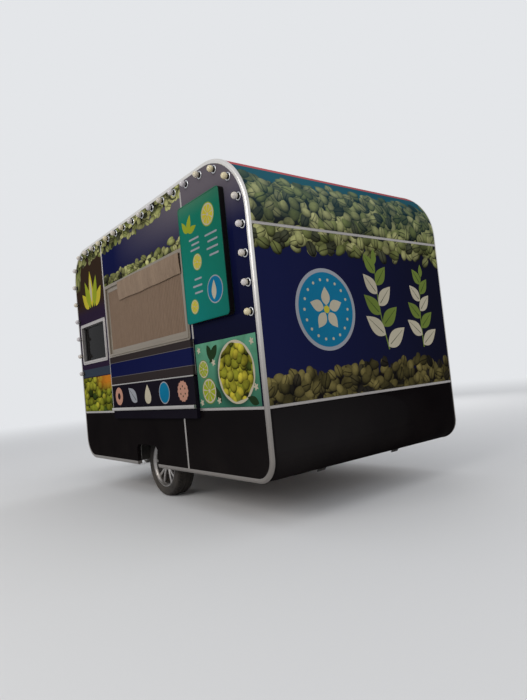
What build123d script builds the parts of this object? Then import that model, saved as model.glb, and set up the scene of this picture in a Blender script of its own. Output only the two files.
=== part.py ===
"""Single-axle towed food trailer with a box body of rounded side outline.

Millimetres. +X points forward to the drawbar, +Y to the left, which is the serving side, and +Z up.
The origin lies on the ground, below the middle of the outline from the rear face to the coupling's tip.
"""

import os
from math import atan2, cos, degrees, hypot, radians, sin, sqrt

from build123d import *

os.makedirs("parts", exist_ok=True)

# Driving dimensions of the body
body_length = 3360.0
body_width = 2100.0
body_height = 2300.0
ground_gap = 300.0
panel = 40.0
rear_low_radius = 170.0
rear_top_radius = 500.0
front_top_radius = 360.0
front_low_radius = 220.0
skirt_height = 500.0
cowl_height = 580.0
drawbar_reach = 1260.0

# Clearances
seat = 0.3
gap = 5.0

# Body frame
rear_x = -(body_length + drawbar_reach) / 2
front_x = rear_x + body_length
side_y = body_width / 2
inner_y = side_y - panel
under_z = ground_gap
roof_z = under_z + body_height
waist_z = under_z + skirt_height
seam_z = roof_z - cowl_height

# Corner extrusion along both sides, and the bright strips over the panel joints
trim_width = 32.0
trim_proud = 3.0
trim_chamfer = 15.0
strip_width = 20.0
strip_proud = 3.0

# Wheels, in a common 15 inch size
axle_from_rear = 1820.0
tyre_radius = 291.5
tyre_width = 175.0
tyre_shoulder = 25.0
rim_radius = 207.0
rim_inset = 5.0
lip_wall = 8.0
lip_depth = 24.0
barrel_wall = 16.0
half_track = 822.0
hub_radius = 62.0
hub_out = 46.0
drum_radius = 115.0
drum_width = 55.0
drum_out = 20.0
spindle_radius = 20.0
spindle_clearance = 0.1
spoke_pairs = 5
spoke_spread = 11.0
spoke_width = 20.0
spoke_depth = 24.0

axle_x = rear_x + axle_from_rear
axle_z = tyre_radius

# Floor and chassis, from the rails upward
rail_low = 320.0
rail_height = 100.0
rail_width = 50.0
rail_sheet = 5.0
rail_y = 430.0
cross_height = 30.0
cross_width = 50.0
floor_thickness = 30.0

rail_top = rail_low + rail_height
cross_low = rail_top
floor_low = cross_low + cross_height
floor_top = floor_low + floor_thickness

# Wheel boxes, with room for the turning tyre, and the arches in the skirts
box_sheet = 4.0
tyre_room_ahead = 53.5
tyre_room_above = 72.0
tyre_room_inside = 34.5
box_reach = tyre_radius + tyre_room_ahead
box_top = axle_z + tyre_radius + tyre_room_above
box_inner_y = half_track - tyre_width / 2 - tyre_room_inside
arch_front = 220.0
arch_rear = 200.0
arch_height = 190.0
arch_chamfer = 35.0


def upright(y):
    """Sketch plane that stands at this Y: length across, height up, extruded towards -Y."""
    return Plane(origin=(0, y, 0), x_dir=(1, 0, 0), z_dir=(0, -1, 0))


def across(x):
    """Sketch plane that stands across the trailer at this X: Y across, height up, extruded forward."""
    return Plane(origin=(x, 0, 0), x_dir=(0, 1, 0), z_dir=(1, 0, 0))


def window(x0, x1, z0, z1, mode=Mode.ADD):
    """Rectangle given by its two ends each way, in the open sketch."""
    with Locations(((x0 + x1) / 2, (z0 + z1) / 2)):
        Rectangle(x1 - x0, z1 - z0, mode=mode)


def block(x0, x1, y0, y1, z0, z1, mode=Mode.ADD):
    """Box given by its two ends each way, in the open part."""
    with Locations(((x0 + x1) / 2, (y0 + y1) / 2, (z0 + z1) / 2)):
        Box(x1 - x0, y1 - y0, z1 - z0, mode=mode)


def post(x, y, z0, z1, radius, mode=Mode.ADD):
    """Standing round bar or hole between two heights, in the open part."""
    with Locations((x, y, z0)):
        Cylinder(radius, z1 - z0, align=(Align.CENTER, Align.CENTER, Align.MIN), mode=mode)


def pin(x, y0, y1, z, radius, mode=Mode.ADD):
    """Round bar or hole that lies across the trailer, in the open part."""
    with Locations(Location((x, (y0 + y1) / 2, z), (90, 0, 0))):
        Cylinder(radius, y1 - y0, mode=mode)


def body_outline(inset=0.0, mode=Mode.ADD):
    """Rounded side outline of the body, moved inward by inset, in the open side sketch."""
    corners = [
        (rear_x + inset, under_z + inset),
        (rear_x + inset, roof_z - inset),
        (front_x - inset, roof_z - inset),
        (front_x - inset, under_z + inset),
    ]
    radii = [r - inset for r in (rear_low_radius, rear_top_radius, front_top_radius, front_low_radius)]
    with BuildLine() as edge:
        FilletPolyline(*corners, radius=radii, close=True)
    make_face(edge.edges(), mode=mode)


def skin_inset(radius, z):
    """How far the skin's inner face lies in from the end face at this height in a lower corner."""
    below = max(under_z + radius - z, 0.0)
    return radius - sqrt((radius - panel) ** 2 - below**2)


def arch_outline(mode=Mode.SUBTRACT):
    """Chamfered wheel opening at the foot of a skirt, in the open side sketch."""
    x0 = axle_x - arch_rear
    x1 = axle_x + arch_front
    top = under_z + arch_height
    with BuildLine() as edge:
        Polyline(
            (x0, under_z - panel),
            (x0, top - arch_chamfer),
            (x0 + arch_chamfer, top),
            (x1 - arch_chamfer, top),
            (x1, top - arch_chamfer),
            (x1, under_z - panel),
            close=True,
        )
    make_face(edge.edges(), mode=mode)


def write(name, part):
    """Label a finished piece and write it under its own name."""
    part.label = name
    export_step(part, f"parts/{name}.step")


# A-frame drawbar: the rails turn in to the nose at the kink
kink_from_front = 500.0
nose_from_tip = 150.0
nose_gap = 4.0
tip_x = front_x + drawbar_reach
kink_x = front_x - kink_from_front
nose_x = tip_x - nose_from_tip
beam_half = rail_width / 2
beam_slope = (rail_y - beam_half - nose_gap / 2) / (nose_x - kink_x)


def beam_middle(x):
    """How far a drawbar beam's middle lies from the centre line at this length."""
    return rail_y - beam_slope * (x - kink_x)


def beam_outline(side, x0, x1, clearance=0.0):
    """Plan of one drawbar beam between two lengths, widened by a clearance each way."""
    half = beam_half + clearance
    with BuildLine() as edge:
        Polyline(
            (x0, side * (beam_middle(x0) - half)),
            (x0, side * (beam_middle(x0) + half)),
            (x1, side * (beam_middle(x1) + half)),
            (x1, side * (beam_middle(x1) - half)),
            close=True,
        )
    make_face(edge.edges())


# Panels that wrap round the body between the two corner extrusions
wrap_panels = (
    # name, from x, to x, from z, to z
    ("rear_skirt", rear_x, rear_x + rear_low_radius, under_z, waist_z),
    ("rear_wall", rear_x, rear_x + panel, waist_z, seam_z),
    ("rear_cowl", rear_x, rear_x + rear_top_radius, seam_z, roof_z),
    ("roof", rear_x + rear_top_radius, front_x - front_top_radius, roof_z - panel, roof_z),
    ("front_wall", front_x - front_top_radius, front_x, waist_z, roof_z),
)


def wrap_panel(x0, x1, z0, z1):
    """One stretch of the skin that runs round the outline, between the side panels."""
    with BuildSketch(upright(inner_y)) as ring:
        body_outline()
        body_outline(panel, mode=Mode.SUBTRACT)
        window(x0, x1, z0, z1, mode=Mode.INTERSECT)
    extrude(ring.sketch, amount=2 * inner_y)


for name, x0, x1, z0, z1 in wrap_panels:
    with BuildPart() as wrap:
        wrap_panel(x0, x1, z0, z1)
    write(name, wrap.part)

# The front skirt is notched for the drawbar beams
notch_clearance = 8.0
with BuildPart() as front_skirt:
    wrap_panel(front_x - front_low_radius, front_x, under_z, waist_z)
    for side in (1, -1):
        with BuildSketch(Plane.XY.offset(under_z)):
            beam_outline(side, front_x - front_low_radius, front_x, notch_clearance)
        extrude(amount=rail_top + notch_clearance - under_z, mode=Mode.SUBTRACT)
write("front_skirt", front_skirt.part)

# Serving side: the panels meet below the bright strips
rear_strip_from_rear = 835.0
front_strip_from_front = 850.0
window_past_rear_strip = 55.0
window_before_front_strip = 35.0
window_above_waist = 565.0
window_below_roof = 545.0
small_past_strip = 62.0
small_from_front = 112.0
small_above_waist = 552.0
small_below_roof = 842.0
rear_strip_x = rear_x + rear_strip_from_rear
front_strip_x = front_x - front_strip_from_front
window_x0 = rear_strip_x + window_past_rear_strip
window_x1 = front_strip_x - window_before_front_strip
window_z0 = waist_z + window_above_waist
window_z1 = roof_z - window_below_roof
small_x0 = front_strip_x + small_past_strip
small_x1 = front_x - small_from_front
small_z0 = waist_z + small_above_waist
small_z1 = roof_z - small_below_roof

# Entry door on the far side, near the rear
door_from_rear = 420.0
door_width = 690.0
door_below_roof = 310.0
door_x0 = rear_x + door_from_rear
door_x1 = door_x0 + door_width
door_z0 = floor_top
door_z1 = roof_z - door_below_roof

# Each hole is given by its from x, to x, from z and to z
serving_hole = (window_x0, window_x1, window_z0, window_z1)
small_hole = (small_x0, small_x1, small_z0, small_z1)
door_hole = (door_x0, door_x1, door_z0, door_z1)
side_walls = (
    # name, face's y, from x, to x, from z, to z, hole
    ("serving_wall_rear", side_y, rear_x, rear_strip_x, waist_z, roof_z, None),
    ("serving_wall_middle", side_y, rear_strip_x, front_strip_x, waist_z, roof_z, serving_hole),
    ("serving_wall_front", side_y, front_strip_x, front_x, waist_z, roof_z, small_hole),
    ("serving_skirt", side_y, rear_x, front_x, under_z, waist_z, None),
    ("far_wall", -inner_y, rear_x, front_x, waist_z, roof_z, door_hole),
    ("far_skirt", -inner_y, rear_x, front_x, under_z, waist_z, door_hole),
)
for name, face_y, x0, x1, z0, z1, hole in side_walls:
    with BuildPart() as side_wall:
        with BuildSketch(upright(face_y)):
            body_outline(trim_width)
            window(x0, x1, z0, z1, mode=Mode.INTERSECT)
            if hole:
                window(*hole, mode=Mode.SUBTRACT)
            if z0 == under_z:
                arch_outline()
        extrude(amount=panel)
    write(name, side_wall.part)

# Bright corner extrusion round each side, chamfered outside and open at the wheel arch
for name, side in (("trim_serving", 1), ("trim_far", -1)):
    face_y = side_y + trim_proud if side > 0 else -inner_y
    with BuildPart() as trim:
        with BuildSketch(upright(face_y)):
            body_outline(-trim_proud)
            body_outline(trim_width, mode=Mode.SUBTRACT)
        extrude(amount=panel + trim_proud)
        outer_face = trim.faces().filter_by(Axis.Y).sort_by(Axis.Y)[-1 if side > 0 else 0]
        chamfer(outer_face.outer_wire().edges(), trim_chamfer)
        with BuildSketch(upright(face_y)):
            arch_outline(mode=Mode.ADD)
        extrude(amount=panel + trim_proud, mode=Mode.SUBTRACT)
    write(name, trim.part)

# Window frames with an outer flange and a raised inner bead, and their panes
frame_lip = 20.0
flange_proud = 6.0
bead_proud = 12.0
bead_width = 19.0
frame_wall = 15.0
pane = 6.0
pane_set_back = 30.0
windows = (
    # name, from x, to x, from z, to z
    ("serving_window", window_x0, window_x1, window_z0, window_z1),
    ("front_window", small_x0, small_x1, small_z0, small_z1),
)
frame_bands = (
    # foot's y, height, reach outside the opening, reach inside the opening
    (side_y, -panel, 0.0, frame_wall),
    (side_y, flange_proud, frame_lip, frame_wall),
    (side_y, bead_proud, bead_width - frame_wall, frame_wall),
)
for name, x0, x1, z0, z1 in windows:
    with BuildPart() as frame:
        for foot_y, height, outside, inside in frame_bands:
            with BuildSketch(upright(foot_y)):
                window(x0 - outside, x1 + outside, z0 - outside, z1 + outside)
                window(x0 + inside, x1 - inside, z0 + inside, z1 - inside, Mode.SUBTRACT)
            extrude(amount=-height)
    write(f"{name}_frame", frame.part)
    with BuildPart() as glass:
        y = side_y - pane_set_back
        block(x0 + frame_wall, x1 - frame_wall, y - pane, y, z0 + frame_wall, z1 - frame_wall)
    write(f"{name}_glass", glass.part)

# Raised counter unit under the serving window: a fixed fascia and a flap that folds down from it
unit_past_strip = -5.0
unit_before_strip = 80.0
unit_below_waist = 65.0
hinge_above_waist = 265.0
unit_proud = 35.0
hinge_radius = 6.0
unit_x0 = rear_strip_x + unit_past_strip
unit_x1 = front_strip_x - unit_before_strip
unit_z0 = waist_z - unit_below_waist
hinge_z = waist_z + hinge_above_waist
hinge_y = side_y + unit_proud
flap_top = window_z0 - frame_lip - gap

for name, y0, z0, z1 in (
    ("counter_fascia", side_y, unit_z0, hinge_z - gap),
    ("counter_flap", side_y + gap, hinge_z + gap, flap_top),
):
    with BuildPart() as half_unit:
        block(unit_x0, unit_x1, y0, hinge_y, z0, z1)
        with BuildSketch(across(unit_x0)):
            with Locations((hinge_y, hinge_z)):
                Circle(hinge_radius + seat)
        extrude(amount=unit_x1 - unit_x0, mode=Mode.SUBTRACT)
    write(name, half_unit.part)

# Bright rails of the counter unit: the hinge rod and the bar below the printed row
bar_above_waist = 12.0
bar_height = 30.0
bar_proud = 18.0
bar_chamfer = 6.0
bar_low = waist_z + bar_above_waist
with BuildPart() as counter_rails:
    with BuildSketch(across(unit_x0)):
        with Locations((hinge_y, hinge_z)):
            Circle(hinge_radius)
    extrude(amount=unit_x1 - unit_x0)
    with BuildSketch(across(unit_x0)):
        with BuildLine():
            Polyline(
                (hinge_y, bar_low),
                (hinge_y + bar_proud - bar_chamfer, bar_low),
                (hinge_y + bar_proud, bar_low + bar_chamfer),
                (hinge_y + bar_proud, bar_low + bar_height - bar_chamfer),
                (hinge_y + bar_proud - bar_chamfer, bar_low + bar_height),
                (hinge_y, bar_low + bar_height),
                close=True,
            )
        make_face()
    extrude(amount=unit_x1 - unit_x0)
write("counter_rails", counter_rails.part)

# Globe bulbs in a row inside the trim, from the rear column over the top to the front column
bulb_inset = 72.0
bulb_radius = 25.0
bulb_base_radius = 17.0
bulb_base_height = 12.0
bulb_tip_chamfer = 14.0
bulb_foot_chamfer = 7.0
bulb_reach = 55.0
bulb_sides = 8
bulb_pitch = 197.0
bulbs_rear_above_waist = 637.0
bulbs_front_above_waist = 438.0
with BuildLine() as bulb_line:
    FilletPolyline(
        (rear_x + bulb_inset, waist_z + bulbs_rear_above_waist),
        (rear_x + bulb_inset, roof_z - bulb_inset),
        (front_x - bulb_inset, roof_z - bulb_inset),
        (front_x - bulb_inset, waist_z + bulbs_front_above_waist),
        radius=[rear_top_radius - bulb_inset, front_top_radius - bulb_inset],
    )
bulb_path = bulb_line.wire()
bulb_steps = round(bulb_path.length / bulb_pitch)
with BuildPart() as bulb:
    with BuildSketch(upright(0)):
        RegularPolygon(bulb_base_radius, bulb_sides)
    extrude(amount=-bulb_base_height)
    with BuildSketch(upright(bulb_base_height)):
        RegularPolygon(bulb_radius, bulb_sides)
    extrude(amount=bulb_base_height - bulb_reach)
    ends = bulb.faces().filter_by(Axis.Y).sort_by(Axis.Y)
    chamfer(ends[-1].edges(), bulb_tip_chamfer)
    foot_face = bulb.faces().filter_by(Axis.Y).sort_by(Axis.Y)[1]
    chamfer(foot_face.outer_wire().edges(), bulb_foot_chamfer)
bulb_step = bulb_path.length / bulb_steps
bulb_places = [bulb_path.position_at(i * bulb_step, PositionMode.LENGTH) for i in range(bulb_steps + 1)]
with BuildPart() as marquee_bulbs:
    with Locations(*[(place.X, side_y, place.Y) for place in bulb_places]):
        add(bulb.part)
write("marquee_bulbs", marquee_bulbs.part)
print("bulbs", bulb_steps + 1, "pitch", round(bulb_step, 1))

# Bright strips over the panel joints
skirt_strip_from_rear = 1085.0
half_strip = strip_width / 2
strip_low = waist_z - half_strip
strip_high = waist_z + half_strip
strip_top = roof_z - bulb_inset - bulb_radius - gap
strip_x0 = rear_x + trim_width
strip_x1 = front_x - trim_width
skirt_strip_x = rear_x + skirt_strip_from_rear
strips_serving = (
    # from x, to x, from z, to z
    (strip_x0, unit_x0 - gap, strip_low, strip_high),
    (unit_x1 + gap, strip_x1, strip_low, strip_high),
    (rear_strip_x - half_strip, rear_strip_x + half_strip, flap_top + gap, strip_top),
    (front_strip_x - half_strip, front_strip_x + half_strip, strip_high, strip_top),
    (skirt_strip_x - half_strip, skirt_strip_x + half_strip, under_z + trim_width, unit_z0 - gap),
)
end_strips = (
    # from x, to x, middle z
    (rear_x - strip_proud, rear_x, waist_z),
    (front_x, front_x + strip_proud, waist_z),
    (rear_x - strip_proud, rear_x, seam_z),
)
with BuildPart() as joint_strips:
    for x0, x1, z0, z1 in strips_serving:
        block(x0, x1, side_y, side_y + strip_proud, z0, z1)
    block(strip_x0, strip_x1, -side_y - strip_proud, -side_y, strip_low, strip_high)
    y0 = -side_y - strip_proud
    block(door_x0 - panel, door_x1 + panel, y0, -side_y, strip_low, strip_high, Mode.SUBTRACT)
    for x0, x1, z in end_strips:
        block(x0, x1, -inner_y, inner_y, z - half_strip, z + half_strip)
write("joint_strips", joint_strips.part)

# Ribbed blind inside the serving window, with a bulging pelmet in front of its top
blind_thickness = 8.0
rib_depth = 3.0
rib_pitch = 50.0
pelmet_past_window = 40.0
pelmet_before_window = 325.0
pelmet_height = 165.0
pelmet_foot = 8.0
pelmet_depth = 22.0
blind_y = side_y - gap
blind_x0 = window_x0 + frame_wall
blind_x1 = window_x1 - frame_wall
blind_ribs = round((blind_x1 - blind_x0) / rib_pitch)
rib_step = (blind_x1 - blind_x0) / blind_ribs
rib_points = [(blind_x1, blind_y - blind_thickness), (blind_x0, blind_y - blind_thickness)]
for i in range(blind_ribs):
    rib_points.append((blind_x0 + i * rib_step, blind_y - rib_depth))
    rib_points.append((blind_x0 + (i + 0.5) * rib_step, blind_y))
rib_points.append((blind_x1, blind_y - rib_depth))
with BuildPart() as blind:
    with BuildSketch(Plane.XY.offset(window_z0 + frame_wall)):
        with BuildLine():
            Polyline(*rib_points, close=True)
        make_face()
    extrude(amount=window_z1 - window_z0 - 2 * frame_wall)
write("blind", blind.part)

pelmet_x0 = window_x0 + pelmet_past_window
pelmet_x1 = window_x1 - pelmet_before_window
pelmet_z1 = window_z1 - frame_wall
pelmet_z0 = pelmet_z1 - pelmet_height
pelmet_back = blind_y + seat
with BuildPart() as pelmet:
    with BuildSketch(across(pelmet_x0)):
        with BuildLine():
            Polyline(
                (pelmet_back + pelmet_foot, pelmet_z0),
                (pelmet_back, pelmet_z0),
                (pelmet_back, pelmet_z1),
                (pelmet_back + pelmet_foot, pelmet_z1),
            )
            ThreePointArc(
                (pelmet_back + pelmet_foot, pelmet_z1),
                (pelmet_back + pelmet_depth, (pelmet_z0 + pelmet_z1) / 2),
                (pelmet_back + pelmet_foot, pelmet_z0),
            )
        make_face()
    extrude(amount=pelmet_x1 - pelmet_x0)
write("pelmet", pelmet.part)

# Menu light box on the serving side, with a raised rim round its sunk face
menu_from_rear = 250.0
menu_before_strip = 15.0
menu_above_waist = 650.0
menu_below_roof = 250.0
menu_depth = 50.0
menu_radius = 30.0
menu_rim = 8.0
menu_sunk = 3.0
menu_x0 = rear_x + menu_from_rear
menu_x1 = rear_strip_x - menu_before_strip
menu_z0 = waist_z + menu_above_waist
menu_z1 = roof_z - menu_below_roof
with BuildPart() as menu_box:
    for rim, depth, mode in ((0.0, menu_depth, Mode.ADD), (menu_rim, menu_sunk, Mode.SUBTRACT)):
        with BuildSketch(upright(side_y + menu_depth)):
            with Locations(((menu_x0 + menu_x1) / 2, (menu_z0 + menu_z1) / 2)):
                RectangleRounded(menu_x1 - menu_x0 - 2 * rim, menu_z1 - menu_z0 - 2 * rim, menu_radius - rim)
        extrude(amount=depth, mode=mode)
write("menu_box", menu_box.part)

# Entry door: a frame round the opening, the leaf, its lift-off hinges and its handle
door_lip = 30.0
door_frame_proud = 8.0
door_frame_wall = 14.0
with BuildPart() as door_frame:
    for face_y, depth, outside in ((-side_y, door_frame_proud, door_lip), (-inner_y, panel, 0.0)):
        with BuildSketch(upright(face_y)):
            window(door_x0 - outside, door_x1 + outside, door_z0 - outside, door_z1 + outside)
            window(
                door_x0 + door_frame_wall,
                door_x1 - door_frame_wall,
                door_z0 + door_frame_wall,
                door_z1 - door_frame_wall,
                Mode.SUBTRACT,
            )
        extrude(amount=depth)
write("door_frame", door_frame.part)

leaf_thickness = 35.0
leaf_edging = 50.0
leaf_sunk = 4.0
knuckle_radius = 8.0
knuckle_length = 40.0
hinge_pin_radius = 4.0
hinge_plate = 3.0
hinge_reach = 45.0
hinge_from_end = 250.0
leaf_x0 = door_x0 + door_frame_wall + gap
leaf_x1 = door_x1 - door_frame_wall - gap
leaf_z0 = door_z0 + door_frame_wall + gap
leaf_z1 = door_z1 - door_frame_wall - gap
leaf_face_y = -side_y - door_frame_proud
door_axis_x = door_x1 - door_frame_wall
door_axis_y = leaf_face_y - knuckle_radius
door_hinge_heights = (leaf_z0 + hinge_from_end, leaf_z1 - hinge_from_end)
plate_y = leaf_face_y - hinge_plate

with BuildPart() as door_leaf:
    block(leaf_x0, leaf_x1, leaf_face_y, leaf_face_y + leaf_thickness, leaf_z0, leaf_z1)
    block(
        leaf_x0 + leaf_edging,
        leaf_x1 - leaf_edging,
        leaf_face_y,
        leaf_face_y + leaf_sunk,
        leaf_z0 + leaf_edging,
        leaf_z1 - leaf_edging,
        Mode.SUBTRACT,
    )
    for z in door_hinge_heights:
        low = z + seat / 2
        block(
            door_axis_x - hinge_reach,
            door_axis_x - hinge_pin_radius,
            plate_y,
            leaf_face_y,
            low,
            low + knuckle_length,
        )
        post(door_axis_x, door_axis_y, low, low + knuckle_length, knuckle_radius)
        post(
            door_axis_x,
            door_axis_y,
            low,
            low + knuckle_length,
            hinge_pin_radius + spindle_clearance,
            Mode.SUBTRACT,
        )
write("door_leaf", door_leaf.part)

with BuildPart() as door_hinges:
    for z in door_hinge_heights:
        high = z - seat / 2
        block(
            door_axis_x + hinge_pin_radius,
            door_axis_x + hinge_reach,
            plate_y,
            leaf_face_y,
            high - knuckle_length,
            high,
        )
        post(door_axis_x, door_axis_y, high - knuckle_length, high, knuckle_radius)
        post(door_axis_x, door_axis_y, high, high + knuckle_length, hinge_pin_radius)
write("door_hinges", door_hinges.part)

handle_height = 1000.0
handle_length = 170.0
handle_from_edge = 80.0
handle_width = 24.0
handle_reach = 38.0
handle_sheet = 9.0
handle_chamfer = 12.0
handle_x = leaf_x0 + handle_from_edge
handle_z = floor_top + handle_height
handle_foot_y = leaf_face_y + leaf_sunk
with BuildPart() as door_handle:
    with BuildSketch(across(handle_x)):
        window(handle_foot_y - handle_reach, handle_foot_y, handle_z, handle_z + handle_length)
        outer_corners = vertices().group_by(Axis.Y)[0]
        chamfer(outer_corners, handle_chamfer)
        window(
            handle_foot_y - handle_reach + handle_sheet,
            handle_foot_y,
            handle_z + handle_sheet,
            handle_z + handle_length - handle_sheet,
            Mode.SUBTRACT,
        )
    extrude(amount=handle_width)
write("door_handle", door_handle.part)

# Floor, cut round the wheel boxes
with BuildPart() as floor:
    block(
        rear_x + skin_inset(rear_low_radius, floor_low) + seat,
        front_x - skin_inset(front_low_radius, floor_low) - seat,
        -inner_y,
        inner_y,
        floor_low,
        floor_top,
    )
    for side in (1, -1):
        y0, y1 = sorted((side * box_inner_y, side * inner_y))
        block(axle_x - box_reach, axle_x + box_reach, y0, y1, floor_low, floor_top, Mode.SUBTRACT)
write("floor", floor.part)

with BuildPart() as wheel_boxes:
    for side in (1, -1):
        for sheet, mode in ((0.0, Mode.ADD), (box_sheet, Mode.SUBTRACT)):
            reach = box_reach - sheet
            y0, y1 = sorted((side * (box_inner_y + sheet), side * inner_y))
            block(axle_x - reach, axle_x + reach, y0, y1, floor_low, box_top - sheet, mode)
write("wheel_boxes", wheel_boxes.part)

# Chassis: two channel rails, open towards each other, and the cross members that carry the floor
cross_from_rear = (260.0, 760.0)
cross_from_box = 175.0
cross_xs = [rear_x + place for place in cross_from_rear]
cross_xs += [axle_x - box_reach - cross_from_box, axle_x + box_reach + cross_from_box, kink_x]
rail_x0 = rear_x + rear_low_radius + seat
with BuildPart() as chassis_frame:
    for side in (1, -1):
        y0, y1 = sorted((side * (rail_y - beam_half), side * (rail_y + beam_half)))
        block(rail_x0, kink_x, y0, y1, rail_low, rail_top)
        y0, y1 = sorted((side * (rail_y - beam_half), side * (rail_y + beam_half - rail_sheet)))
        block(rail_x0, kink_x, y0, y1, rail_low + rail_sheet, rail_top - rail_sheet, Mode.SUBTRACT)
    for x in cross_xs:
        block(x - cross_width / 2, x + cross_width / 2, -inner_y, inner_y, cross_low, floor_low)
write("chassis_frame", chassis_frame.part)

# Drawbar beams with the nose plate and the jockey wheel's clamp
nose_plate_length = 190.0
nose_plate_width = 120.0
plate_thickness = 8.0
jockey_from_nose = 330.0
jockey_tube_radius = 24.0
clamp_width = 60.0
clamp_wall = 10.0
lever_size = 12.0
lever_reach = 70.0
lever_bar = 90.0
jockey_x = nose_x - jockey_from_nose
clamp_mid_z = rail_low + rail_height / 2 + plate_thickness
clamp_half = beam_middle(jockey_x + clamp_width / 2)
with BuildPart() as drawbar:
    for side in (1, -1):
        with BuildSketch(Plane.XY.offset(rail_low)):
            beam_outline(side, kink_x, nose_x)
        extrude(amount=rail_height)
    plate_top = rail_top + plate_thickness
    block(
        nose_x - nose_plate_length,
        nose_x,
        -nose_plate_width / 2,
        nose_plate_width / 2,
        rail_top,
        plate_top,
    )
    block(
        jockey_x - clamp_width / 2,
        jockey_x + clamp_width / 2,
        -clamp_half,
        clamp_half,
        rail_top,
        plate_top,
    )
    post(jockey_x, 0, plate_top - rail_height, plate_top, jockey_tube_radius + clamp_wall)
    lever_x = jockey_x - jockey_tube_radius - clamp_wall - lever_reach
    with BuildSketch(across(lever_x)):
        with Locations((0, clamp_mid_z)):
            Rectangle(lever_size, lever_size)
    extrude(amount=lever_reach + clamp_wall)
    with BuildSketch(upright(lever_bar / 2)):
        with Locations((lever_x, clamp_mid_z)):
            Rectangle(lever_size, lever_size)
    extrude(amount=lever_bar)
    post(jockey_x, 0, rail_low - rail_height, rail_top + rail_height, jockey_tube_radius, Mode.SUBTRACT)
write("drawbar", drawbar.part)

# Ball coupling on the nose plate: bolt flange, rising neck, ball head and hand lever
ball_radius = 25.0
ball_clearance = 0.5
socket_depth = 47.5
coupling_wall = 7.0
coupling_height = 62.0
coupling_chamfer = 12.0
neck_width = 48.0
flange_from_plate_end = 20.0
flange_length = 105.0
flange_width = 72.0
flange_thickness = 10.0
hand_lever_width = 22.0
hand_lever_length = 150.0
hand_lever_sheet = 12.0
hand_lever_rise = 40.0
socket_radius = ball_radius + ball_clearance
head_radius = socket_radius + coupling_wall
coupling_x = tip_x - head_radius
coupling_low = rail_top + plate_thickness
coupling_top = coupling_low + coupling_height
flange_x = nose_x - nose_plate_length + flange_from_plate_end
with BuildPart() as coupling:
    post(coupling_x, 0, coupling_low, coupling_top, head_radius)
    chamfer(coupling.edges().filter_by(GeomType.CIRCLE).sort_by(Axis.Z)[-1], coupling_chamfer)
    block(
        flange_x,
        flange_x + flange_length,
        -flange_width / 2,
        flange_width / 2,
        coupling_low,
        coupling_low + flange_thickness,
    )
    with BuildSketch(upright(neck_width / 2)):
        with BuildLine():
            Polyline(
                (flange_x, coupling_low),
                (flange_x, coupling_low + flange_thickness),
                (flange_x + flange_length / 2, coupling_top - coupling_chamfer),
                (coupling_x, coupling_top - coupling_chamfer),
                (coupling_x, coupling_low),
                close=True,
            )
        make_face()
    extrude(amount=neck_width)
    lever_foot = coupling_x - head_radius
    with BuildSketch(upright(hand_lever_width / 2)):
        with BuildLine():
            Polyline(
                (lever_foot, coupling_top - 2 * coupling_chamfer),
                (lever_foot, coupling_top),
                (lever_foot - hand_lever_length, coupling_top + hand_lever_rise),
                (lever_foot - hand_lever_length, coupling_top + hand_lever_rise - hand_lever_sheet),
                (lever_foot - hand_lever_length / 3, coupling_top - 2 * coupling_chamfer),
                close=True,
            )
        make_face()
    extrude(amount=hand_lever_width)
    post(coupling_x, 0, coupling_low, coupling_low + socket_depth, socket_radius, Mode.SUBTRACT)
write("coupling", coupling.part)

# Jockey wheel: clamped outer tube with its crank, swivelling leg and roller
jockey_wheel_radius = 100.0
jockey_wheel_width = 50.0
jockey_trail = 45.0
jockey_tube_wall = 3.0
jockey_tube_low = 250.0
jockey_tube_top = 730.0
jockey_cap = 16.0
crank_spindle_radius = 7.0
crank_rise = 14.0
crank_length = 130.0
crank_width = 20.0
crank_sheet = 6.0
crank_knob_radius = 11.0
crank_knob_length = 75.0
leg_length = 380.0
fork_sheet = 5.0
fork_gap = 3.0
fork_top = 218.0
fork_front = 25.0
fork_rear = 30.0
fork_foot = 18.0
jockey_pin_radius = 8.0
jockey_leg_radius = jockey_tube_radius - jockey_tube_wall - spindle_clearance
fork_half = jockey_wheel_width / 2 + fork_gap
roller_x = jockey_x - jockey_trail
with BuildPart() as jockey_tube:
    post(jockey_x, 0, jockey_tube_low, jockey_tube_top, jockey_tube_radius)
    post(
        jockey_x,
        0,
        jockey_tube_low,
        jockey_tube_top - jockey_tube_wall,
        jockey_tube_radius - jockey_tube_wall,
        Mode.SUBTRACT,
    )
    cap_top = jockey_tube_top + jockey_cap
    block(
        jockey_x - jockey_tube_radius,
        jockey_x + jockey_tube_radius,
        -jockey_tube_radius,
        jockey_tube_radius,
        jockey_tube_top,
        cap_top,
    )
    with BuildSketch(Plane.XY.offset(cap_top)):
        with Locations((jockey_x, 0)):
            RegularPolygon(crank_spindle_radius, 6)
    extrude(amount=crank_rise)
    crank_low = cap_top + crank_rise
    block(
        jockey_x - crank_length,
        jockey_x + crank_width / 2,
        -crank_width / 2,
        crank_width / 2,
        crank_low,
        crank_low + crank_sheet,
    )
    with BuildSketch(Plane.XY.offset(crank_low + crank_sheet)):
        with Locations((jockey_x - crank_length + crank_knob_radius, 0)):
            RegularPolygon(crank_knob_radius, 8)
    extrude(amount=crank_knob_length)
write("jockey_tube", jockey_tube.part)

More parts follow.
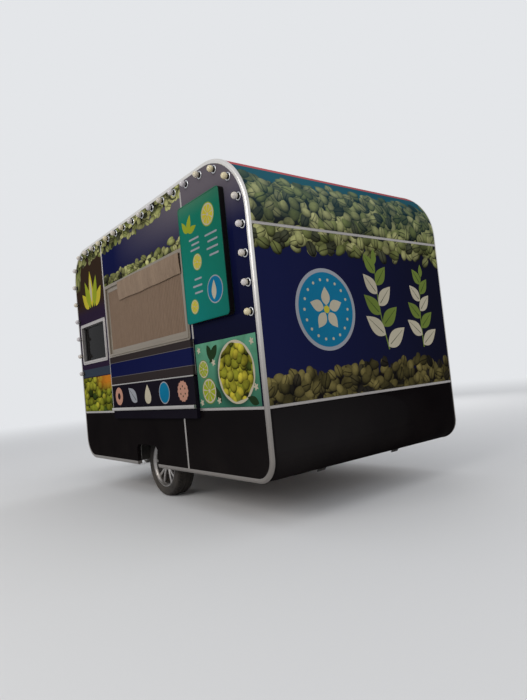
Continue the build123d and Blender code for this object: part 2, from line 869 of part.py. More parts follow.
with BuildPart() as jockey_leg:
    post(jockey_x, 0, fork_top, fork_top + leg_length, jockey_leg_radius)
    block(
        roller_x - fork_rear,
        jockey_x + fork_front,
        -fork_half - fork_sheet,
        fork_half + fork_sheet,
        fork_top - fork_sheet,
        fork_top,
    )
    for side in (1, -1):
        with BuildSketch(upright(side * fork_half + (fork_sheet if side > 0 else 0))):
            with BuildLine():
                Polyline(
                    (roller_x - fork_foot, jockey_wheel_radius - fork_foot),
                    (roller_x - fork_rear, fork_top),
                    (jockey_x + fork_front, fork_top),
                    (roller_x + fork_foot, jockey_wheel_radius - fork_foot),
                    close=True,
                )
            make_face()
        extrude(amount=fork_sheet)
    pin_half = fork_half + fork_sheet / 2
    pin(roller_x, -pin_half, pin_half, jockey_wheel_radius, jockey_pin_radius)
write("jockey_leg", jockey_leg.part)

with BuildPart() as jockey_wheel:
    half = jockey_wheel_width / 2
    pin(roller_x, -half, half, jockey_wheel_radius, jockey_wheel_radius)
    pin(roller_x, -half, half, jockey_wheel_radius, jockey_pin_radius + spindle_clearance, Mode.SUBTRACT)
write("jockey_wheel", jockey_wheel.part)

# Axle: a square tube bolted below the rails, trailing arms and spindles
axle_tube = 70.0
arm_length = 150.0
arm_thickness = 22.0
arm_to_tyre = 44.5
bracket_sheet = 8.0
bracket_half = 70.0
bracket_rise = 70.0
tube_x = axle_x + arm_length
tube_z = rail_low - axle_tube / 2
tube_half = axle_tube / 2
arm_y = half_track - tyre_width / 2 - arm_to_tyre - arm_thickness
arm_span = hypot(arm_length, tube_z - axle_z)
with BuildPart() as axle_beam:
    block(tube_x - tube_half, tube_x + tube_half, -arm_y, arm_y, rail_low - axle_tube, rail_low)
    for side in (1, -1):
        with BuildSketch(upright(side * arm_y + (arm_thickness if side > 0 else 0))):
            with Locations(((axle_x + tube_x) / 2, (axle_z + tube_z) / 2)):
                SlotCenterToCenter(arm_span, axle_tube, rotation=degrees(atan2(tube_z - axle_z, arm_length)))
        extrude(amount=arm_thickness)
        y0, y1 = sorted((side * arm_y, side * (half_track + drum_out)))
        pin(axle_x, y0, y1, axle_z, spindle_radius)
        plate_in = side * (rail_y + beam_half)
        with BuildSketch(upright(max(plate_in, plate_in + side * bracket_sheet))):
            with BuildLine():
                Polyline(
                    (tube_x - bracket_half, rail_low + bracket_rise),
                    (tube_x - bracket_half, rail_low),
                    (tube_x - tube_half, rail_low - tube_half),
                    (tube_x + tube_half, rail_low - tube_half),
                    (tube_x + bracket_half, rail_low),
                    (tube_x + bracket_half, rail_low + bracket_rise),
                    close=True,
                )
            make_face()
        extrude(amount=bracket_sheet)
write("axle_beam", axle_beam.part)

# Road wheels: the section plane has the outward way across and the radius up
half_tyre = tyre_width / 2
half_rim = half_tyre - rim_inset
barrel_radius = rim_radius - barrel_wall
spoke_outer_end = half_rim - lip_depth
spoke_root = hub_radius / 2
spoke_tip = barrel_radius + barrel_wall / 2
tyre_profile = (
    # outward, radius
    (-half_tyre, rim_radius),
    (-half_tyre, tyre_radius - tyre_shoulder),
    (-half_tyre + tyre_shoulder, tyre_radius),
    (half_tyre - tyre_shoulder, tyre_radius),
    (half_tyre, tyre_radius - tyre_shoulder),
    (half_tyre, rim_radius),
)
rim_profile = (
    # outward, radius
    (-half_rim, rim_radius),
    (half_rim, rim_radius),
    (half_rim, rim_radius - lip_wall),
    (spoke_outer_end, rim_radius - lip_wall),
    (spoke_outer_end, barrel_radius),
    (-half_rim, barrel_radius),
)
spoke_profile = (
    # radius, outward
    (spoke_root, hub_out - spoke_depth),
    (spoke_tip, spoke_outer_end - spoke_depth),
    (spoke_tip, spoke_outer_end),
    (hub_radius, hub_out),
    (spoke_root, hub_out),
)


def wheel_plane(side, out):
    """Plane across the axle, this far outward from a wheel's middle, with its normal outward."""
    return Plane(origin=(axle_x, side * (half_track + out), axle_z), x_dir=(1, 0, 0), z_dir=(0, side, 0))


def spoke_plane(side, angle):
    """Plane that holds the axle and one radius: the radius across, outward up."""
    c = cos(radians(angle))
    s = sin(radians(angle))
    return Plane(origin=(axle_x, side * half_track, axle_z), x_dir=(c, 0, s), z_dir=(-side * s, 0, side * c))


wheel_axis = Axis((axle_x, 0, axle_z), (0, 1, 0))
for label, side in (("left", 1), ("right", -1)):
    section = Plane(origin=(axle_x, side * half_track, axle_z), x_dir=(0, side, 0), z_dir=(side, 0, 0))
    with BuildPart() as tyre:
        with BuildSketch(section):
            with BuildLine():
                Polyline(*tyre_profile, close=True)
            make_face()
        revolve(axis=wheel_axis)
    write(f"tyre_{label}", tyre.part)

    with BuildPart() as rim:
        with BuildSketch(section):
            with BuildLine():
                Polyline(*rim_profile, close=True)
            make_face()
        revolve(axis=wheel_axis)
        with BuildSketch(wheel_plane(side, drum_out)):
            Circle(hub_radius)
        extrude(amount=hub_out - drum_out)
        for pair in range(spoke_pairs):
            for spread in (-spoke_spread, spoke_spread):
                angle = pair * 360.0 / spoke_pairs + spread + 90.0
                with BuildSketch(spoke_plane(side, angle)):
                    with BuildLine():
                        Polyline(*spoke_profile, close=True)
                    make_face()
                extrude(amount=spoke_width / 2, both=True)
    write(f"rim_{label}", rim.part)

    with BuildPart() as drum:
        with BuildSketch(wheel_plane(side, drum_out)):
            Circle(drum_radius)
            Circle(spindle_radius + spindle_clearance, mode=Mode.SUBTRACT)
        extrude(amount=-drum_width)
    write(f"drum_{label}", drum.part)

# Corner steadies, stowed along the rails: channel legs with feet that lie flat when they are down
steady_below_rail = 30.0
steady_from_rear = 560.0
steady_from_front = 700.0
steady_length = 355.0
steady_heel = 20.0
steady_size = 30.0
steady_sheet = 5.0
steady_pin_radius = 8.0
steady_drop = 50.0
cheek_half = 30.0
cheek_below_pin = 22.0
foot_length = 60.0
foot_width = 80.0
foot_thickness = 6.0
steady_z = rail_low - steady_below_rail
steady_half = steady_size / 2
steady_places = (
    # name, pivot's x, way that the leg points
    ("rear", rear_x + steady_from_rear, -1),
    ("front", front_x - steady_from_front, 1),
)
with BuildPart() as steady_brackets:
    for _, x, way in steady_places:
        for side in (1, -1):
            y = side * rail_y
            inner = steady_half + gap
            for cheek in (1, -1):
                y0, y1 = sorted((y + cheek * inner, y + cheek * (inner + steady_sheet)))
                block(x - cheek_half, x + cheek_half, y0, y1, steady_z - cheek_below_pin, rail_low)
            pin(x, y - inner, y + inner, steady_z, steady_pin_radius)
write("steady_brackets", steady_brackets.part)

for end, x, way in steady_places:
    for label, side in (("left", 1), ("right", -1)):
        y = side * rail_y
        with BuildPart() as steady:
            x0, x1 = sorted((x - way * steady_heel, x + way * steady_length))
            block(x0, x1, y - steady_half, y + steady_half, steady_z - steady_half, steady_z + steady_half)
            inside = steady_half - steady_sheet
            x0, x1 = sorted((x + way * steady_heel, x + way * steady_length))
            block(x0, x1, y - inside, y + inside, steady_z - inside, steady_z + steady_half, Mode.SUBTRACT)
            foot_plane = Plane(
                origin=(x + way * steady_length, y, steady_z),
                x_dir=(way * cos(radians(steady_drop)), 0, sin(radians(steady_drop))),
                z_dir=(-way * sin(radians(steady_drop)), 0, cos(radians(steady_drop))),
            )
            with BuildSketch(foot_plane):
                Rectangle(foot_length, foot_width)
            extrude(amount=foot_thickness / 2, both=True)
            pin(
                x,
                y - steady_half,
                y + steady_half,
                steady_z,
                steady_pin_radius + spindle_clearance,
                Mode.SUBTRACT,
            )
        write(f"steady_{end}_{label}", steady.part)

# Steel worktop inside: one leg under the serving window and one along the front wall
top_from_rear = 1000.0
top_depth = 560.0
top_above_floor = 850.0
top_thickness = 30.0
upright_sheet = 12.0
shelf_above_box = 60.0
top_x0 = rear_x + top_from_rear
top_x1 = front_x - skin_inset(front_low_radius, floor_top) - seat
top_z = floor_top + top_above_floor
top_low = top_z - top_thickness
shelf_z = box_top + shelf_above_box
serving_y0 = inner_y - top_depth
front_leg_x0 = top_x1 - top_depth
worktop_uprights = (
    # from x, to x, from y, to y
    (top_x0, top_x0 + upright_sheet, serving_y0, inner_y),
    (axle_x + box_reach + gap, axle_x + box_reach + gap + upright_sheet, serving_y0, inner_y),
    (front_leg_x0, top_x1, serving_y0, serving_y0 + upright_sheet),
    (front_leg_x0, top_x1, -inner_y, -inner_y + upright_sheet),
)
with BuildPart() as worktop:
    block(top_x0, top_x1, serving_y0, inner_y, top_low, top_z)
    block(front_leg_x0, top_x1, -inner_y, serving_y0, top_low, top_z)
    for x0, x1, y0, y1 in worktop_uprights:
        block(x0, x1, y0, y1, floor_top, top_low)
    block(top_x0, front_leg_x0 + upright_sheet, serving_y0, inner_y, shelf_z, shelf_z + upright_sheet)
write("worktop", worktop.part)

# Roof vent: a low base with a hood that narrows upward
vent_from_rear = 1750.0
vent_size = 400.0
vent_base = 18.0
vent_hood = 42.0
vent_step = 20.0
vent_taper = 25.0
vent_x = rear_x + vent_from_rear
with BuildPart() as roof_vent:
    with BuildSketch(Plane.XY.offset(roof_z)):
        with Locations((vent_x, 0)):
            Rectangle(vent_size, vent_size)
    extrude(amount=vent_base)
    with BuildSketch(Plane.XY.offset(roof_z + vent_base)):
        with Locations((vent_x, 0)):
            Rectangle(vent_size - 2 * vent_step, vent_size - 2 * vent_step)
    extrude(amount=vent_hood, taper=vent_taper)
write("roof_vent", roof_vent.part)
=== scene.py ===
"""Looks of the food trailer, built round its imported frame.

Metres, in the frame of the solids: +X forward to the drawbar, +Y to the serving side, +Z up, ground at zero.
"""

import math

import bmesh
import bpy
import numpy as np
from mathutils import Matrix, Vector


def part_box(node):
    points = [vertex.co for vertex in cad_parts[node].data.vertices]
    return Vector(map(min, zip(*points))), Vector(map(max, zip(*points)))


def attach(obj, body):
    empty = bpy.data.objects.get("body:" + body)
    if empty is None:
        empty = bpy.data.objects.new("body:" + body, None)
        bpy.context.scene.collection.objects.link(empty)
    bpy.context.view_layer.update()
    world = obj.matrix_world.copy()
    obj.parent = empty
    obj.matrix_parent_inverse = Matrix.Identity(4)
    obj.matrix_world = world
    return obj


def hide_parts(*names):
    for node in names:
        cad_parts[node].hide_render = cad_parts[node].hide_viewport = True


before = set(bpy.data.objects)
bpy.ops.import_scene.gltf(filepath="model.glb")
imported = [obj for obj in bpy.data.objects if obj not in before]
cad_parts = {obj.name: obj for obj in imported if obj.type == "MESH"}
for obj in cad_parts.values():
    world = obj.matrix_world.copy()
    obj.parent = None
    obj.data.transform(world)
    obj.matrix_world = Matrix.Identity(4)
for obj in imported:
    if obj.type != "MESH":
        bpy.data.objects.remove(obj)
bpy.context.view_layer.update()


def added(name, data):
    """New object in the scene."""
    made = bpy.data.objects.new(name, data)
    bpy.context.scene.collection.objects.link(made)
    return made


# Camera, with its axes squared up
camera_place = (-4.989, 3.148, 0.999)
camera_right = (-0.612, -0.784, -0.099)
camera_up = (-0.101, -0.047, 0.994)
camera_back = (-0.784, 0.618, -0.051)
camera_lens = 27.15

camera = added("camera", bpy.data.cameras.new("camera"))
camera.data.lens = camera_lens
camera.data.clip_end = 200.0
axes = np.array([camera_right, camera_up, camera_back], float)
axes[0] /= np.linalg.norm(axes[0])
axes[2] -= axes[0] * (axes[0] @ axes[2])
axes[2] /= np.linalg.norm(axes[2])
axes[1] = np.cross(axes[2], axes[0])
placed = np.eye(4)
placed[:3, :3] = axes.T
placed[:3, 3] = camera_place
camera.matrix_world = Matrix(placed.tolist())
bpy.context.scene.camera = camera

# Sizes read from the frame
rear, waist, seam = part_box("rear_wall")[0].x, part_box("rear_wall")[0].z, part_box("rear_wall")[1].z
front, roof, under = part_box("front_wall")[1].x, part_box("roof")[1].z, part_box("rear_skirt")[0].z
side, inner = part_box("serving_skirt")[1].y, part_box("rear_wall")[1].y
panel = side - inner
rear_low_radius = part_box("rear_skirt")[1].x - rear
rear_top_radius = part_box("rear_cowl")[1].x - rear
front_top_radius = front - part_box("front_wall")[0].x
front_low_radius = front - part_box("front_skirt")[0].x
trim_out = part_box("trim_serving")[1].y
rear_strip, front_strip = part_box("serving_wall_rear")[1].x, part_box("serving_wall_front")[0].x
pane_low, pane_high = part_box("serving_window_glass")
small_low, small_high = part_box("front_window_glass")
unit_low, unit_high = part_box("counter_fascia")
flap_low, flap_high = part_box("counter_flap")
menu_low, menu_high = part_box("menu_box")
tyre_low, tyre_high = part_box("tyre_left")
axle_x, axle_z = (tyre_low.x + tyre_high.x) / 2, (tyre_low.z + tyre_high.z) / 2
tyre_radius, half_tyre = (tyre_high.z - tyre_low.z) / 2, (tyre_high.y - tyre_low.y) / 2
rim_low, rim_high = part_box("rim_left")
rim_reach, half_rim = (rim_high.z - rim_low.z) / 2, (rim_high.y - rim_low.y) / 2
half_track = (tyre_low.y + tyre_high.y) / 2
blind_low, blind_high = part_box("blind")
rib_pitch = 0.0262
ribs = round((blind_high.x - blind_low.x) / rib_pitch)
arch_behind, arch_ahead = 0.200, 0.220
arch_low, arch_high = axle_x - arch_behind, axle_x + arch_ahead


# Shader trees
def tint(red, green, blue):
    """Screen colour from 0 to 255 as the linear colour that a shader takes."""
    part = np.array([red, green, blue]) / 255
    linear = np.where(part <= 0.04045, part / 12.92, ((part + 0.055) / 1.055) ** 2.4)
    return (*linear.tolist(), 1.0)


class Tree:
    """One shader tree. A number or colour goes on a socket itself, and an output is joined to it."""

    def __init__(self, tree):
        self.tree = tree

    def put(self, socket, value):
        if isinstance(value, bpy.types.NodeSocket):
            self.tree.links.new(value, socket)
        else:
            socket.default_value = value

    def node(self, kind, **given):
        """Node of one kind: capital names are its sockets, small ones its settings."""
        made = self.tree.nodes.new("ShaderNode" + kind)
        for name, value in given.items():
            if name[0].islower():
                setattr(made, name, value)
        for name, value in given.items():
            if name[0].isupper():
                self.put(made.inputs[name.replace("_", " ")], value)
        return made

    def math(self, operation, *values, clamp=False):
        made = self.node("Math", operation=operation, use_clamp=clamp)
        for socket, value in zip(made.inputs, values):
            self.put(socket, value)
        return made.outputs[0]

    def times(self, first, second):
        return self.math("MULTIPLY", first, second)

    def plus(self, first, second):
        return self.math("ADD", first, second)

    def minus(self, first, second):
        return self.math("SUBTRACT", first, second)

    def vector(self, operation, *values):
        made = self.node("VectorMath", operation=operation)
        for socket, value in zip(made.inputs, values):
            self.put(socket, value)
        return made.outputs["Value" if operation in ("LENGTH", "DISTANCE") else "Vector"]

    def mix(self, share, first, second, blend="MIX"):
        made = self.node("Mix", data_type="RGBA", blend_type=blend)
        for number, value in ((0, share), (6, first), (7, second)):
            self.put(made.inputs[number], value)
        return made.outputs[2]

    def shaded(self, colour, share):
        return self.mix(1.0, colour, self.xyz(share, share, share), "MULTIPLY")

    def ramp(self, value, low, high, to_low=0.0, to_high=1.0, smooth=False):
        kind = "SMOOTHSTEP" if smooth else "LINEAR"
        sockets = dict(Value=value, From_Min=low, From_Max=high, To_Min=to_low, To_Max=to_high)
        return self.node("MapRange", interpolation_type=kind, **sockets).outputs[0]

    def xyz(self, x=0.0, y=0.0, z=0.0):
        return self.node("CombineXYZ", X=x, Y=y, Z=z).outputs[0]

    def parts(self, vector):
        return self.node("SeparateXYZ", Vector=vector).outputs

    def noise(self, vector, scale, detail=3.0, rough=0.5):
        return self.node("TexNoise", Vector=vector, Scale=scale, Detail=detail, Roughness=rough).outputs[0]

    def place(self):
        return self.node("TexCoord").outputs["Object"]

    def effect(self, group, **given):
        made = self.node("Group", node_tree=group)
        for name, value in given.items():
            self.put(made.inputs[name.replace("_", " ")], value)
        return made.outputs


def effect(name, sockets, results, build):
    """Shader node group with its sockets, filled by build, which gives an output for each result."""
    group = bpy.data.node_groups.new(name, "ShaderNodeTree")
    for socket, kind, value in sockets:
        made = group.interface.new_socket(socket, in_out="INPUT", socket_type="NodeSocket" + kind)
        if value is not None:
            made.default_value = value
    for socket, kind in results:
        group.interface.new_socket(socket, in_out="OUTPUT", socket_type="NodeSocket" + kind)
    given = group.nodes.new("NodeGroupInput").outputs
    last = group.nodes.new("NodeGroupOutput").inputs
    for socket, value in build(Tree(group), given).items():
        group.links.new(value, last[socket])
    return group


def build_one_bean(tree, given):
    """One scatter of beans.

    Each cell of a net holds an oval, turned by its own chance and lit from above, with a crease along it.
    """
    shift = tree.xyz(tree.times(given["Seed"], 3.71), tree.times(given["Seed"], 1.37))
    moved = tree.vector("ADD", given["Place"], shift)
    cells = tree.node("TexVoronoi", voronoi_dimensions="2D", feature="F1", Vector=moved, Randomness=0.85)
    tree.put(cells.inputs["Scale"], tree.math("DIVIDE", 1.12, given["Size"]))
    chance = tree.parts(cells.outputs["Color"])
    away = tree.vector("SUBTRACT", moved, cells.outputs["Position"])
    turn = tree.times(chance[0], math.tau)
    turned = tree.node("VectorRotate", rotation_type="Z_AXIS", Vector=away, Angle=turn).outputs[0]
    along, across, _ = tree.parts(turned)
    size = tree.times(given["Size"], tree.ramp(chance[1], 0.0, 1.0, 0.82, 1.1))
    half = tree.times(size, 0.5)
    u = tree.math("DIVIDE", along, half)
    v = tree.math("DIVIDE", tree.math("DIVIDE", across, half), given["Slim"])
    reach = tree.vector("LENGTH", tree.xyz(u, v))
    bend = tree.times(tree.math("SINE", tree.times(u, 2.4)), 0.16)
    crease = tree.ramp(tree.math("ABSOLUTE", tree.minus(v, bend)), 0.04, 0.15, 1.0, 0.0)
    faced = tree.math("GREATER_THAN", chance[2], given["Faced"])
    dome = tree.math("SUBTRACT", 1.0, tree.times(reach, reach), clamp=True)
    aside, above, _ = tree.parts(away)
    lit = tree.math("DIVIDE", tree.plus(above, tree.times(aside, 0.35)), half)
    lit = tree.times(lit, 0.42)
    return {
        "Mask": tree.ramp(reach, 0.94, 1.0, 1.0, 0.0),
        "Dome": tree.math("ADD", tree.times(tree.math("SQRT", dome), 0.78), lit, clamp=True),
        "Crease": tree.times(crease, faced),
        "Chance": cells.outputs["Color"],
        "Centre": tree.vector("SUBTRACT", cells.outputs["Position"], shift),
    }


one_bean = effect(
    "one_bean",
    [
        ("Place", "Vector", None), ("Size", "Float", 0.1), ("Slim", "Float", 0.7), ("Faced", "Float", 0.38),
        ("Seed", "Float", 1.0),
    ],
    [("Mask", "Float"), ("Dome", "Float"), ("Crease", "Float"), ("Chance", "Color"), ("Centre", "Vector")],
    build_one_bean,
)


def build_pile(tree, given):
    """Pile of whole beans between two heights: four scatters over each other on a dark ground."""
    height = tree.parts(given["Place"])[1]
    rim = tree.times(given["Size"], 0.45)
    above = tree.math("GREATER_THAN", height, tree.plus(given["Low"], rim))
    below = tree.math("LESS_THAN", height, tree.minus(given["High"], rim))
    covered = tree.times(above, below)
    colour = given["Gap"]
    grain = tree.ramp(tree.noise(given["Place"], 60.0), 0.3, 0.7, 0.85, 1.12)
    patch = tree.ramp(tree.noise(given["Place"], 5.5, 1.0), 0.36, 0.62, 0.5, 1.35)
    grain = tree.times(grain, patch)
    for seed in (1.0, 2.0, 3.0, 4.0):
        sockets = {name: given[name] for name in ("Place", "Size", "Slim", "Faced")}
        bean = tree.effect(one_bean, Seed=seed, **sockets)
        middle = tree.parts(bean["Centre"])
        sway = tree.noise(tree.xyz(middle[0], seed), 2.2, 1.0)
        slack = tree.times(tree.minus(sway, 0.5), tree.times(given["Size"], 1.7))
        level = tree.plus(middle[1], slack)
        held = tree.times(
            tree.math("GREATER_THAN", level, given["Low"]), tree.math("LESS_THAN", level, given["High"]),
        )
        mask = tree.times(bean["Mask"], held)
        tone = tree.parts(bean["Chance"])
        skin = tree.mix(tone[1], given["Light"], given["Mid"])
        skin = tree.mix(tree.ramp(tone[2], 0.75, 0.9), skin, given["Deep"])
        shade = tree.ramp(bean["Dome"], 0.05, 0.95, 0.1, 1.25)
        shade = tree.times(shade, tree.ramp(bean["Crease"], 0.0, 1.0, 1.0, 0.2))
        shade = tree.times(shade, grain)
        colour = tree.mix(mask, colour, tree.shaded(skin, shade))
        covered = tree.math("MAXIMUM", covered, mask)
    return {"Color": colour, "Mask": covered}


bean_pile = effect(
    "bean_pile",
    [
        ("Place", "Vector", None),
        ("Size", "Float", 0.1),
        ("Slim", "Float", 0.68),
        ("Faced", "Float", 0.38),
        ("Low", "Float", 0.0),
        ("High", "Float", 1.0),
        ("Light", "Color", tint(158, 156, 106)),
        ("Mid", "Color", tint(98, 104, 56)),
        ("Deep", "Color", tint(58, 60, 44)),
        ("Gap", "Color", tint(20, 14, 14)),
    ],
    [("Color", "Color"), ("Mask", "Float")],
    build_pile,
)


def build_dust(tree, given):
    """Road dust: thickest at the foot, broken into soft patches and fine specks."""
    height = tree.parts(given["Place"])[2]
    foot = tree.ramp(height, given["From"], given["To"], 1.0, 0.0)
    patches = tree.ramp(tree.noise(given["Place"], 3.1, 6.0, 0.65), 0.35, 0.75)
    specks = tree.ramp(tree.noise(given["Place"], 90.0, 2.0), 0.5, 0.75)
    patches = tree.plus(tree.times(patches, 0.8), tree.times(specks, 0.35))
    share = tree.plus(tree.times(foot, foot), given["Everywhere"])
    return {"Mask": tree.math("MULTIPLY", tree.times(patches, share), given["Amount"], clamp=True)}


road_dust = effect(
    "road_dust",
    [
        ("Place", "Vector", None),
        ("From", "Float", 0.1),
        ("To", "Float", 0.9),
        ("Everywhere", "Float", 0.05),
        ("Amount", "Float", 0.5),
    ],
    [("Mask", "Float")],
    build_dust,
)


def build_surface(tree, given):
    """Fine unevenness of a finish as roughness and height: slow wave, close grain and hairline scratches."""
    slow = tree.noise(given["Place"], given["Wave"], 2.0)
    close = tree.noise(given["Place"], given["Grain"], 2.0)
    stretched = tree.vector("MULTIPLY", given["Place"], given["Stretch"])
    lines = tree.noise(stretched, given["Grain"], 4.0, 0.7)
    rough = tree.plus(tree.times(slow, 0.5), tree.times(lines, 0.5))
    rough = tree.ramp(rough, 0.3, 0.7, given["Smoothest"], given["Roughest"])
    height = tree.plus(tree.times(close, 0.4), tree.times(lines, 0.6))
    return {"Roughness": rough, "Height": height, "Wave": slow}


surface = effect(
    "surface",
    [
        ("Place", "Vector", None),
        ("Wave", "Float", 2.0),
        ("Grain", "Float", 300.0),
        ("Stretch", "Vector", (1.0, 1.0, 1.0)),
        ("Smoothest", "Float", 0.2),
        ("Roughest", "Float", 0.4),
    ],
    [("Roughness", "Float"), ("Height", "Float"), ("Wave", "Float")],
    build_surface,
)


def build_inside(tree, given):
    """One where a place lies deeper than Deep below the outside of the body.

    At a corner of the side outline the depth is radius - |(max(ahead, 0), max(up, 0))| from its centre.
    """
    x, y, z = tree.parts(given["Place"])
    depth = tree.minus(side, tree.math("ABSOLUTE", y))
    for edge_x, edge_z, radius in (
        (rear, roof, rear_top_radius),
        (rear, under, rear_low_radius),
        (front, roof, front_top_radius),
        (front, under, front_low_radius),
    ):
        way_x, way_z = (1 if edge_x > 0 else -1), (1 if edge_z > 1 else -1)
        ahead = tree.minus(tree.times(x, way_x), edge_x * way_x - radius)
        up = tree.minus(tree.times(z, way_z), edge_z * way_z - radius)
        corner = tree.xyz(tree.math("MAXIMUM", ahead, 0.0), tree.math("MAXIMUM", up, 0.0))
        depth = tree.math("MINIMUM", depth, tree.minus(radius, tree.vector("LENGTH", corner)))
    return {"Mask": tree.math("GREATER_THAN", depth, given["Deep"])}


inside = effect(
    "inside", [("Place", "Vector", None), ("Deep", "Float", 0.04)], [("Mask", "Float")], build_inside,
)


def blank(name):
    """New material with its tree and its shader."""
    material = bpy.data.materials.new(name)
    material.use_nodes = True
    return material, Tree(material.node_tree), material.node_tree.nodes["Principled BSDF"]


finishes = {}
dust_tint = tint(122, 112, 100)


def finish_of(
    name, paint, smoothest, roughest, metal=0.0, grain=300.0, stretch=(1, 1, 1), bump=0.1, dust=0.3,
    lacquer=0.0, lined=None, **plain,
):
    """Material of one finish, put in the table of finishes.

    paint is a colour or a function that builds one from the tree and the place.
    lacquer is a clear coat that is strongest seen straight on, so a dark print stays deep at a flat angle.
    lined is the depth below the body's outside from which a panel shows its plain lining instead.
    """
    material, tree, shader = blank(name)
    place = tree.place()
    face = tree.effect(
        surface, Place=place, Grain=grain, Stretch=stretch, Smoothest=smoothest, Roughest=roughest,
    )
    dirt = tree.effect(road_dust, Place=place, Amount=dust)["Mask"]
    if callable(paint):
        colour = paint(tree, place)
    else:
        darker = tuple(0.82 * part for part in paint[:3]) + (1.0,)
        colour = tree.mix(tree.ramp(face["Wave"], 0.3, 0.7), darker, paint)
    colour = tree.mix(dirt, colour, dust_tint)
    if lined:
        lined_with = tree.mix(tree.ramp(face["Wave"], 0.3, 0.7), tint(176, 174, 168), tint(188, 186, 181))
        colour = tree.mix(tree.effect(inside, Place=place, Deep=lined)["Mask"], colour, lined_with)
    tree.put(shader.inputs["Base Color"], colour)
    tree.put(shader.inputs["Roughness"], tree.math("MAXIMUM", face["Roughness"], tree.times(dirt, 0.8)))
    if lacquer:
        level = tree.minus(1.0, tree.node("LayerWeight", Blend=0.5).outputs["Facing"])
        tree.put(shader.inputs["Coat Weight"], tree.times(tree.math("POWER", level, 2.5), lacquer))
    shader.inputs["Metallic"].default_value = metal
    for socket, value in plain.items():
        shader.inputs[socket.replace("_", " ")].default_value = value
    bumped = tree.node("Bump", Strength=bump, Distance=0.0005, Height=face["Height"])
    tree.put(shader.inputs["Normal"], bumped.outputs[0])
    finishes[name] = material


# Colours of the prints
navy = tint(14, 19, 58)
night = tint(10, 11, 30)
plum = tint(38, 28, 46)
cocoa = tint(46, 34, 26)
sky_teal = tint(36, 84, 98)
brick_edge = tint(168, 84, 88)
board_grey = tint(44, 38, 38)

# Settings of the heaps of fruit and beans
all_over = dict(Faced=2.0, Low=0.0, High=3.0)
shaded_fruit = dict(
    Light=tint(144, 138, 44), Mid=tint(98, 106, 28), Deep=tint(52, 66, 24), Gap=tint(18, 22, 8), **all_over,
)
ripe_fruit = dict(
    Light=tint(176, 162, 52), Mid=tint(118, 122, 34), Deep=tint(70, 82, 30), Gap=tint(24, 28, 10), **all_over,
)
dark_beans = dict(
    Size=0.118, Slim=0.72, Low=0.0, Light=tint(104, 94, 54), Mid=tint(66, 60, 32), Deep=tint(34, 31, 25),
    Gap=tint(11, 7, 8),
)


def between(tree, value, low, high):
    """One inside a band of a coordinate and nothing outside it."""
    soft = 0.0015
    rise = tree.ramp(value, low - soft, low + soft)
    return tree.times(rise, tree.ramp(value, high - soft, high + soft, 1.0, 0.0))


def past(tree, value, line):
    """One past a line of a coordinate and nothing before it."""
    return tree.ramp(value, line - 0.001, line + 0.001)


def rear_print(tree, place):
    """Rear face: navy with a bean pile at the foot, beans on both sides of the seam and teal over the curve,
    where a painted sky sheen turns the top beans teal.

    The second coordinate is the length along the outline, which runs on round the top corner.
    """
    x, y, z = tree.parts(place)
    level = roof - rear_top_radius
    rise = tree.minus(z, level)
    turn = tree.math("ARCTAN2", rise, tree.minus(rear + rear_top_radius, x))
    arc = tree.times(tree.math("MAXIMUM", turn, 0.0), rear_top_radius)
    length = tree.plus(tree.math("MINIMUM", z, level), arc)
    spot = tree.xyz(y, length)
    ground = tree.mix(tree.ramp(y, -0.9, 0.9), night, navy)
    ground = tree.mix(tree.ramp(length, 2.2, 2.42, smooth=True), ground, sky_teal)
    brick_from, roof_from = 2.528, 2.700
    ground = tree.mix(tree.ramp(length, brick_from, brick_from + 0.006), ground, brick_edge)
    ground = tree.mix(tree.ramp(length, roof_from, roof_from + 0.003), ground, tint(168, 166, 162))
    heap = tree.effect(bean_pile, Place=spot, High=1.0, **dark_beans)
    ground = tree.mix(heap["Mask"], ground, heap["Color"])
    crown = tree.effect(bean_pile, Place=spot, Size=0.12, Slim=0.7, Low=1.86, High=2.41)
    # Painted sky sheen: the top beans turn teal towards the top of the curve.
    sheened_crown = tree.mix(tree.ramp(length, 1.95, 2.5, 0.0, 0.45), crown["Color"], sky_teal)
    return tree.mix(crown["Mask"], ground, sheened_crown)


